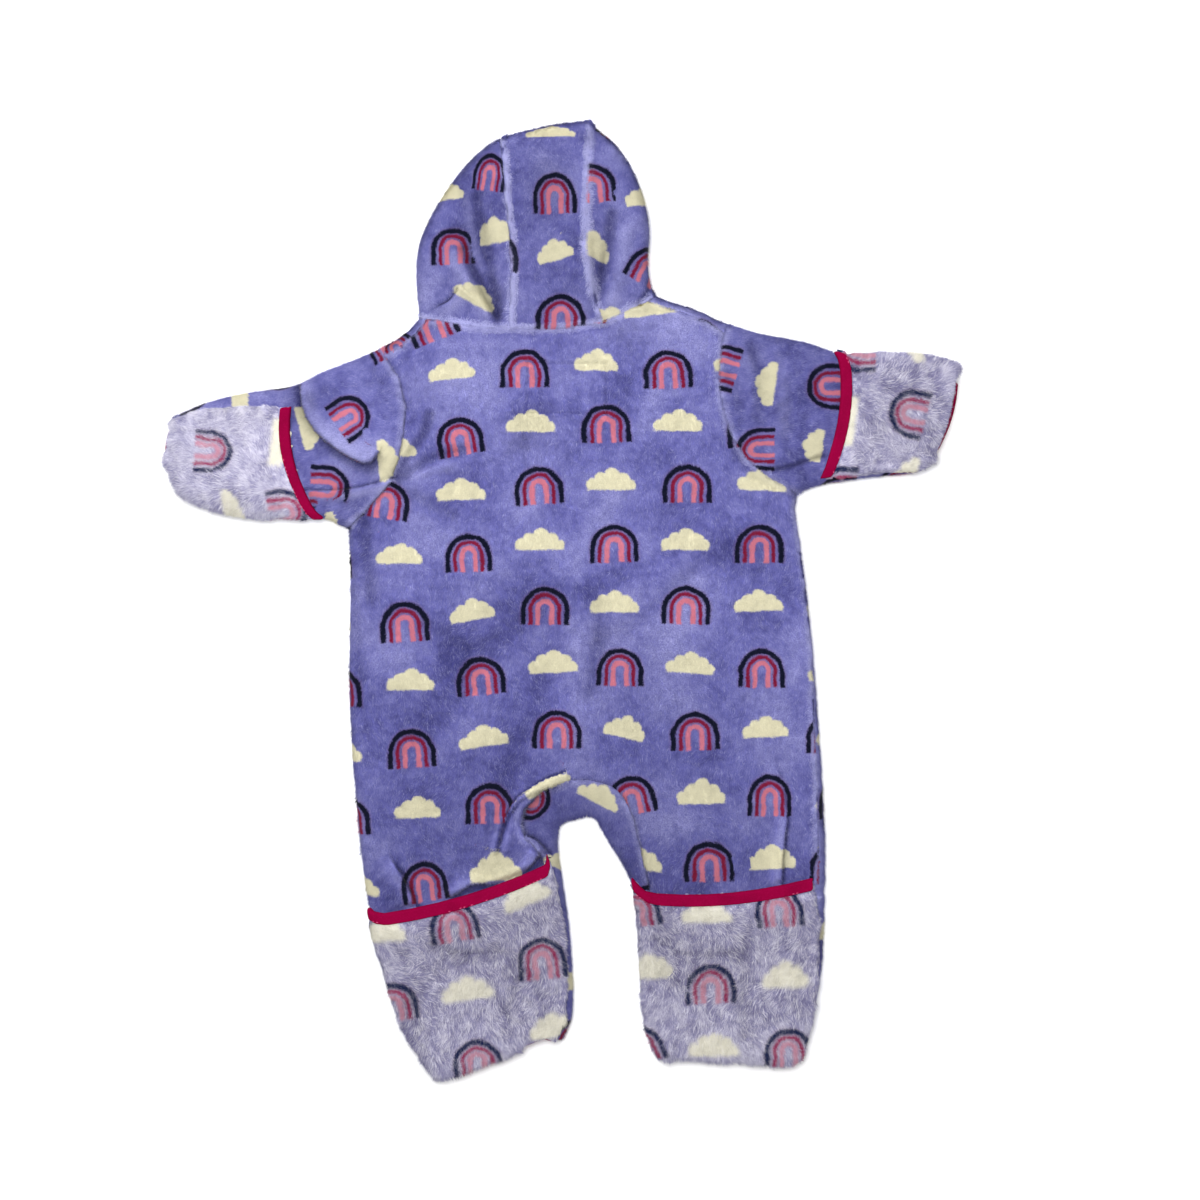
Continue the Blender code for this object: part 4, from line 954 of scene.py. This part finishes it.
def motif_vectors(plan, rows, cell, cuts):
    """For each plan point, its place in the frame of its nearest motif with the motif's kind, and
    the motif's up direction. The kind is 0 where a second motif is less than a cell further. A cut
    is a fold's line that hides cloth, and a motif stays on its own side of it."""
    places = placed(rows)
    offsets = plan[:, None, :] - places[None, :, 1:3]
    up = offsets[:, :, 0] * places[:, 3] + offsets[:, :, 1] * places[:, 4]
    across = offsets[:, :, 0] * places[:, 4] - offsets[:, :, 1] * places[:, 3]
    up = up / places[:, 6]
    across = across / places[:, 5]
    high = np.where(places[:, 0] > 0, ARCH_REACH, CLOUD_REACH)
    away = np.maximum(np.abs(across) / SIDE_REACH, np.abs(up) / high)
    for line in cuts:
        gap, point_side, way = away_from_line(plan, line)
        _, motif_side, _ = away_from_line(places[:, 1:3], line)
        near = (gap < CUT_REACH) & (way >= 0) & (way <= 1)
        away = away + CUT_COST * ((point_side[:, None] != motif_side[None, :]) & near[:, None])
    order = np.argsort(away, axis=1)
    pick = order[:, 0]
    every = np.arange(len(plan))
    second = away[every, order[:, 1]]
    sure = (second - away[every, pick]) > cell / SIDE_REACH
    kind = places[pick, 0] * sure
    turn = np.stack([places[pick, 3], places[pick, 4], np.zeros(len(plan))], axis=1)
    return np.stack([across[every, pick], up[every, pick], kind], axis=1), turn


def border_flags(mesh):
    """Which vertices lie on the sheet's open edge."""
    edges = fetch(mesh.loops, "edge_index", 1, np.int64)[:, 0]
    uses = np.bincount(edges, minlength=len(mesh.edges))
    ends = fetch(mesh.edges, "vertices", 2, np.int64)
    flags = np.zeros(len(mesh.vertices), bool)
    flags[ends[uses == 1].ravel()] = True
    return flags


def edge_distance(points, flags, most=12.0):
    tree = tree_of(points[flags])
    return np.array([min(tree.find(point)[2], most) for point in points])


VECTORS = ("motif", "turn")             # attributes of three parts; the others have one


def write(mesh, told):
    """Writes each array as an attribute of the vertices."""
    for name, values in told.items():
        kind, key = ("FLOAT_VECTOR", "vector") if name in VECTORS else ("FLOAT", "value")
        attribute = mesh.attributes.new(name, kind, "POINT")
        attribute.data.foreach_set(key, values.astype(np.float32).ravel())


TAPE_REACH = 6.0                    # how far a tape holds the cloth down
TAPE_DIP = 1.0                      # how far the cloth lies under the tape's top, at least
TAPE_RISE = 1.1                     # how steeply it may rise beside the tape
TAPE_SHELF = 0.6                    # and from how far beside it
SPOT_CELL, HOOD_CELL = 11.0, 7.0    # see motif_vectors


def dress(node, material, slot, size=0.003, cuts=()):
    """Makes the cloth that stands for a CAD node, of triangles about the size, in metres."""
    obj = sheet_from(node, size, top=slot == "reverse")
    mesh = obj.data
    points = points_of(mesh)
    normals = normals_of(mesh)
    edge = edge_distance(points, border_flags(mesh))
    gap, height = near_tape(points, binding_plan)
    points, fold = folded(points, normals, soft(gap / TAPE_REACH))
    points -= normals * (SEAM_DIP * (1 - soft(edge / SEAM_REACH)))[:, None]
    over = (gap < TAPE_REACH) & (normals[:, 2] > 0)
    most = height - TAPE_DIP + TAPE_RISE * (gap - TAPE_SHELF).clip(0.0)
    points[over, 2] = np.minimum(points[over, 2], most[over])
    set_points(mesh, points)
    cell = HOOD_CELL if "hood" in node else SPOT_CELL
    motif, turn = motif_vectors(unrolled(points, normals), MOTIFS[node], cell, cuts)
    hem, _ = near_tape(points, hem_plan)
    write(mesh, {"motif": motif, "turn": turn, "edge": edge, "fold": fold, "tape": gap, "hem": hem})
    mesh.shade_smooth()
    turn_edges_in(mesh, SKIRT)
    mesh.materials.clear()
    mesh.materials.append(material)
    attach(obj, "root")
    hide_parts(node)
    return obj


SIZES = {"back": 0.0045, "front_left": 0.007, "front_right": 0.007}   # in metres, else 0.003
FOLD_CUTS = {"sleeve_left": [ELBOW_LIP], "back": [RIM_LIP]}
cloth = {}
for node in MOTIFS:
    if "flap" in node:
        cloth[node] = dress(node, reverse, "reverse")
    else:
        cloth[node] = dress(node, plush, "plush", SIZES.get(node, 0.003), FOLD_CUTS.get(node, ()))
print("faces:", {node: len(obj.data.polygons) for node, obj in cloth.items()})

# %% [markdown]
# Pile. Each hair is one short leaning blade, a narrow triangle, and it carries the print of about
# the place where it lies, so the print's edge frays a little as dyed fur does. Blades lie along the
# nap, which runs down the suit and wanders slowly. The long-haired reverse has longer blades, and
# over them a few thick pale locks. Along the seams the pile stands up, pale and tousled.

# %% Pile
CLEAR_OF_TAPE = 0.8                 # no hair grows nearer to a tape
CLEAR_OF_HEM = 1.5
FOLLOW = 0.8                        # how far the print follows a hair, as fur is printed as it lies


def read(mesh, name):
    """An attribute as an array with one row for each vertex."""
    key, parts = ("vector", 3) if name in VECTORS else ("value", 1)
    return fetch(mesh.attributes[name].data, key, parts).astype(float)


def sample(mesh, count, rng, weight):
    """Random spots on the mesh, clear of the tapes: their places, normals and what the cloth tells
    there."""
    mesh.calc_loop_triangles()
    corners = fetch(mesh.loop_triangles, "vertices", 3, np.int64)
    points, normals = points_of(mesh), normals_of(mesh)
    a, b, c = (points[corners[:, k]] for k in range(3))
    cross = np.cross(b - a, c - a)
    area = np.linalg.norm(cross, axis=1) / 2
    facing = cross[:, 2] / np.maximum(2 * area, 1e-9)
    edge, tape, hem = (read(mesh, name)[corners].mean(axis=1)[:, 0]
                       for name in ("edge", "tape", "hem"))
    area = area * weight(facing, edge) * (tape > CLEAR_OF_TAPE) * (hem > CLEAR_OF_HEM)
    pick = rng.choice(len(corners), count, p=area / area.sum())
    share = rng.dirichlet((1.0, 1.0, 1.0), count)

    def at(values):
        return (values[corners[pick]] * share[:, :, None]).sum(axis=1)

    normal = at(normals)
    normal /= np.linalg.norm(normal, axis=1)[:, None]
    names = ("motif", "turn", "edge", "fold", "tape", "hem")
    return at(points), normal, {name: at(read(mesh, name)) for name in names}


def nap_direction(places, main, wander, clump, rng):
    """The way the pile leans, as plan vectors: a main angle that wanders slowly, in clumps, with
    strays."""
    angle = math.radians(main) + wander * ripple(places, 70.0, 11)
    angle = angle + 0.5 * wander * ripple(places, 22.0, 12)
    angle = angle + clump * ripple(places, 9.0, 13) + rng.normal(0.0, 0.25, len(places))
    return np.stack([np.cos(angle), np.sin(angle), np.zeros(len(angle))], axis=1)


def everywhere(facing, edge):
    return np.clip(facing + 0.25, 0.0, 1.0)


def on_top(facing, edge):
    return np.clip(facing, 0.0, 1.0)


def along_seams(facing, edge):
    return (facing > 0.1) * (edge < 4.0) * np.exp(-edge / 1.4)


def make_pile(node, kind, count, length, width, lean, main, seed, clump,
              tones, wander=0.5, spread=0.35, weight=everywhere):
    """A coat of hairs over a sheet, each a triangle that leans with the nap. Length and width are
    in millimetres, lean and main in degrees, and tones are the darkest and the palest hair."""
    name = f"{node}_{kind}"
    source = cloth[node]
    material, slot = (reverse_pile, "reverse") if "flap" in node else (plush_pile, "plush")
    rng = np.random.default_rng(seed)
    places, normals, told = sample(source.data, count, rng, weight)
    flow = nap_direction(places, main, wander, clump, rng)
    flow -= normals * (flow * normals).sum(axis=1)[:, None]
    flow /= np.maximum(np.linalg.norm(flow, axis=1), 1e-6)[:, None]
    aside = np.cross(flow, normals)
    at_rim = 0.5 + 0.5 * soft(told["edge"] / (1.5 * length))
    at_hem = np.clip(told["hem"] / (1.1 * length), 0.12, 1.0)
    at_tape = np.clip(told["tape"] / length, 0.3, 1.0)
    long = (length * rng.uniform(1 - spread, 1 + spread, count))[:, None]
    long = long * np.minimum(at_rim, np.minimum(at_hem, at_tape))
    tilt = (np.radians(lean) + rng.normal(0.0, 0.16, count))[:, None]
    half = (width / 2 * rng.uniform(0.75, 1.25, count))[:, None]
    lie = flow * np.sin(tilt) + normals * np.cos(tilt) + aside * rng.normal(0.0, 0.1, (count, 1))
    moves = np.stack([-aside * half, aside * half, lie * long], axis=1)
    points = (places[:, None] + moves).reshape(-1, 3)
    right, up = moves[:, :, 0] * FOLLOW, moves[:, :, 1] * FOLLOW
    up_x, up_y = told["turn"][:, :1], told["turn"][:, 1:2]
    motif = np.repeat(told["motif"][:, None], 3, axis=1)
    motif[:, :, 0] += right * up_y - up * up_x
    motif[:, :, 1] += right * up_x + up * up_y
    mesh = bpy.data.meshes.new(name)
    mesh.vertices.add(len(points))
    set_points(mesh, points)
    mesh.loops.add(len(points))
    mesh.loops.foreach_set("vertex_index", np.arange(len(points), dtype=np.int32))
    mesh.polygons.add(count)
    mesh.polygons.foreach_set("loop_start", np.arange(0, len(points), 3, dtype=np.int32))
    mesh.update(calc_edges=True)
    tone = rng.uniform(*tones, count)
    tone = tone + clump * ripple(places, 4.5, 14) + clump * ripple(places, 11.0, 15)
    write(mesh, {
        "motif": motif, "edge": np.repeat(told["edge"], 3), "fold": np.repeat(told["fold"], 3),
        "along": np.tile([0.0, 0.0, 1.0], count), "tone": np.repeat(tone, 3)})
    plan = points[:, :2] - points[:, :2].min(axis=0)
    plan = (plan / plan.max()).astype(np.float32)
    mesh.uv_layers.new(name="OFBake").data.foreach_set("uv", plan.ravel())
    mesh.materials.append(material)
    mesh.shade_smooth()
    mesh.normals_split_custom_set_from_vertices(np.repeat(normals, 3, axis=0).astype(np.float32))
    obj = linked(name, mesh)
    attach(obj, "root")
    pile[node].append(obj)


# The angle in plan that the pile leans towards, where it isn't down the picture.
DOWN = -90
NAP = {
    "sleeve_left": 200, "sleeve_right": -10, "sleeve_flap_left": 180, "sleeve_flap_right": -5,
    "leg_flap_left": -80, "leg_flap_right": -95,
}
pile = {node: [] for node in cloth}
for node, k, count in (
        ("back", 1, 190000), ("back", 2, 190000), ("gusset", 1, 60000), ("front_left", 1, 30000),
        ("front_right", 1, 40000), ("hood_centre", 1, 40000), ("hood_side_left", 1, 50000),
        ("hood_side_right", 1, 40000), ("sleeve_left", 1, 90000), ("sleeve_right", 1, 90000)):
    make_pile(node, f"pile_{k}", count, 2.4, 0.42, 55, NAP.get(node, DOWN), k, 0.2, (-0.7, 0.7))
for node, count in (("back", 30000), ("hood_centre", 2500), ("hood_side_left", 3000),
                    ("hood_side_right", 2500), ("sleeve_left", 5000), ("sleeve_right", 5000)):
    make_pile(node, "strokes", count, 3.4, 0.5, 66, NAP.get(node, DOWN), 8, 0.5, (-0.5, 1.3),
              wander=0.9, weight=on_top)
for node, count, tones in (
        ("back", 50000, (0.2, 2.0)), ("hood_centre", 30000, (1.6, 3.4)),
        ("hood_side_left", 20000, (1.6, 3.4)), ("hood_side_right", 20000, (1.6, 3.4)),
        ("sleeve_left", 12000, (0.2, 1.8)), ("sleeve_right", 12000, (0.2, 1.8)),
        ("gusset", 14000, (0.0, 1.6))):
    make_pile(node, "seam_fuzz", count, 3.4, 0.5, 40, DOWN, 9, 0.4, tones, wander=2.5,
              weight=along_seams)
fur = {"wander": 1.2, "spread": 0.4, "weight": on_top}
for node, count, tones in (
        ("sleeve_flap_left", 90000, (-0.4, 1.2)), ("sleeve_flap_right", 90000, (-0.7, 0.9)),
        ("leg_flap_left", 150000, (-0.8, 0.9)), ("leg_flap_right", 150000, (-0.8, 0.9))):
    make_pile(node, "fur", count, 6.0, 0.5, 64, NAP[node], 5, 0.5, tones, **fur)
    make_pile(node, "locks", count // 10, 8.0, 0.9, 66, NAP[node], 6, 0.5, (-0.3, 1.8), **fur)
print("blades:", sum(len(obj.data.polygons) for coats in pile.values() for obj in coats), "faces")
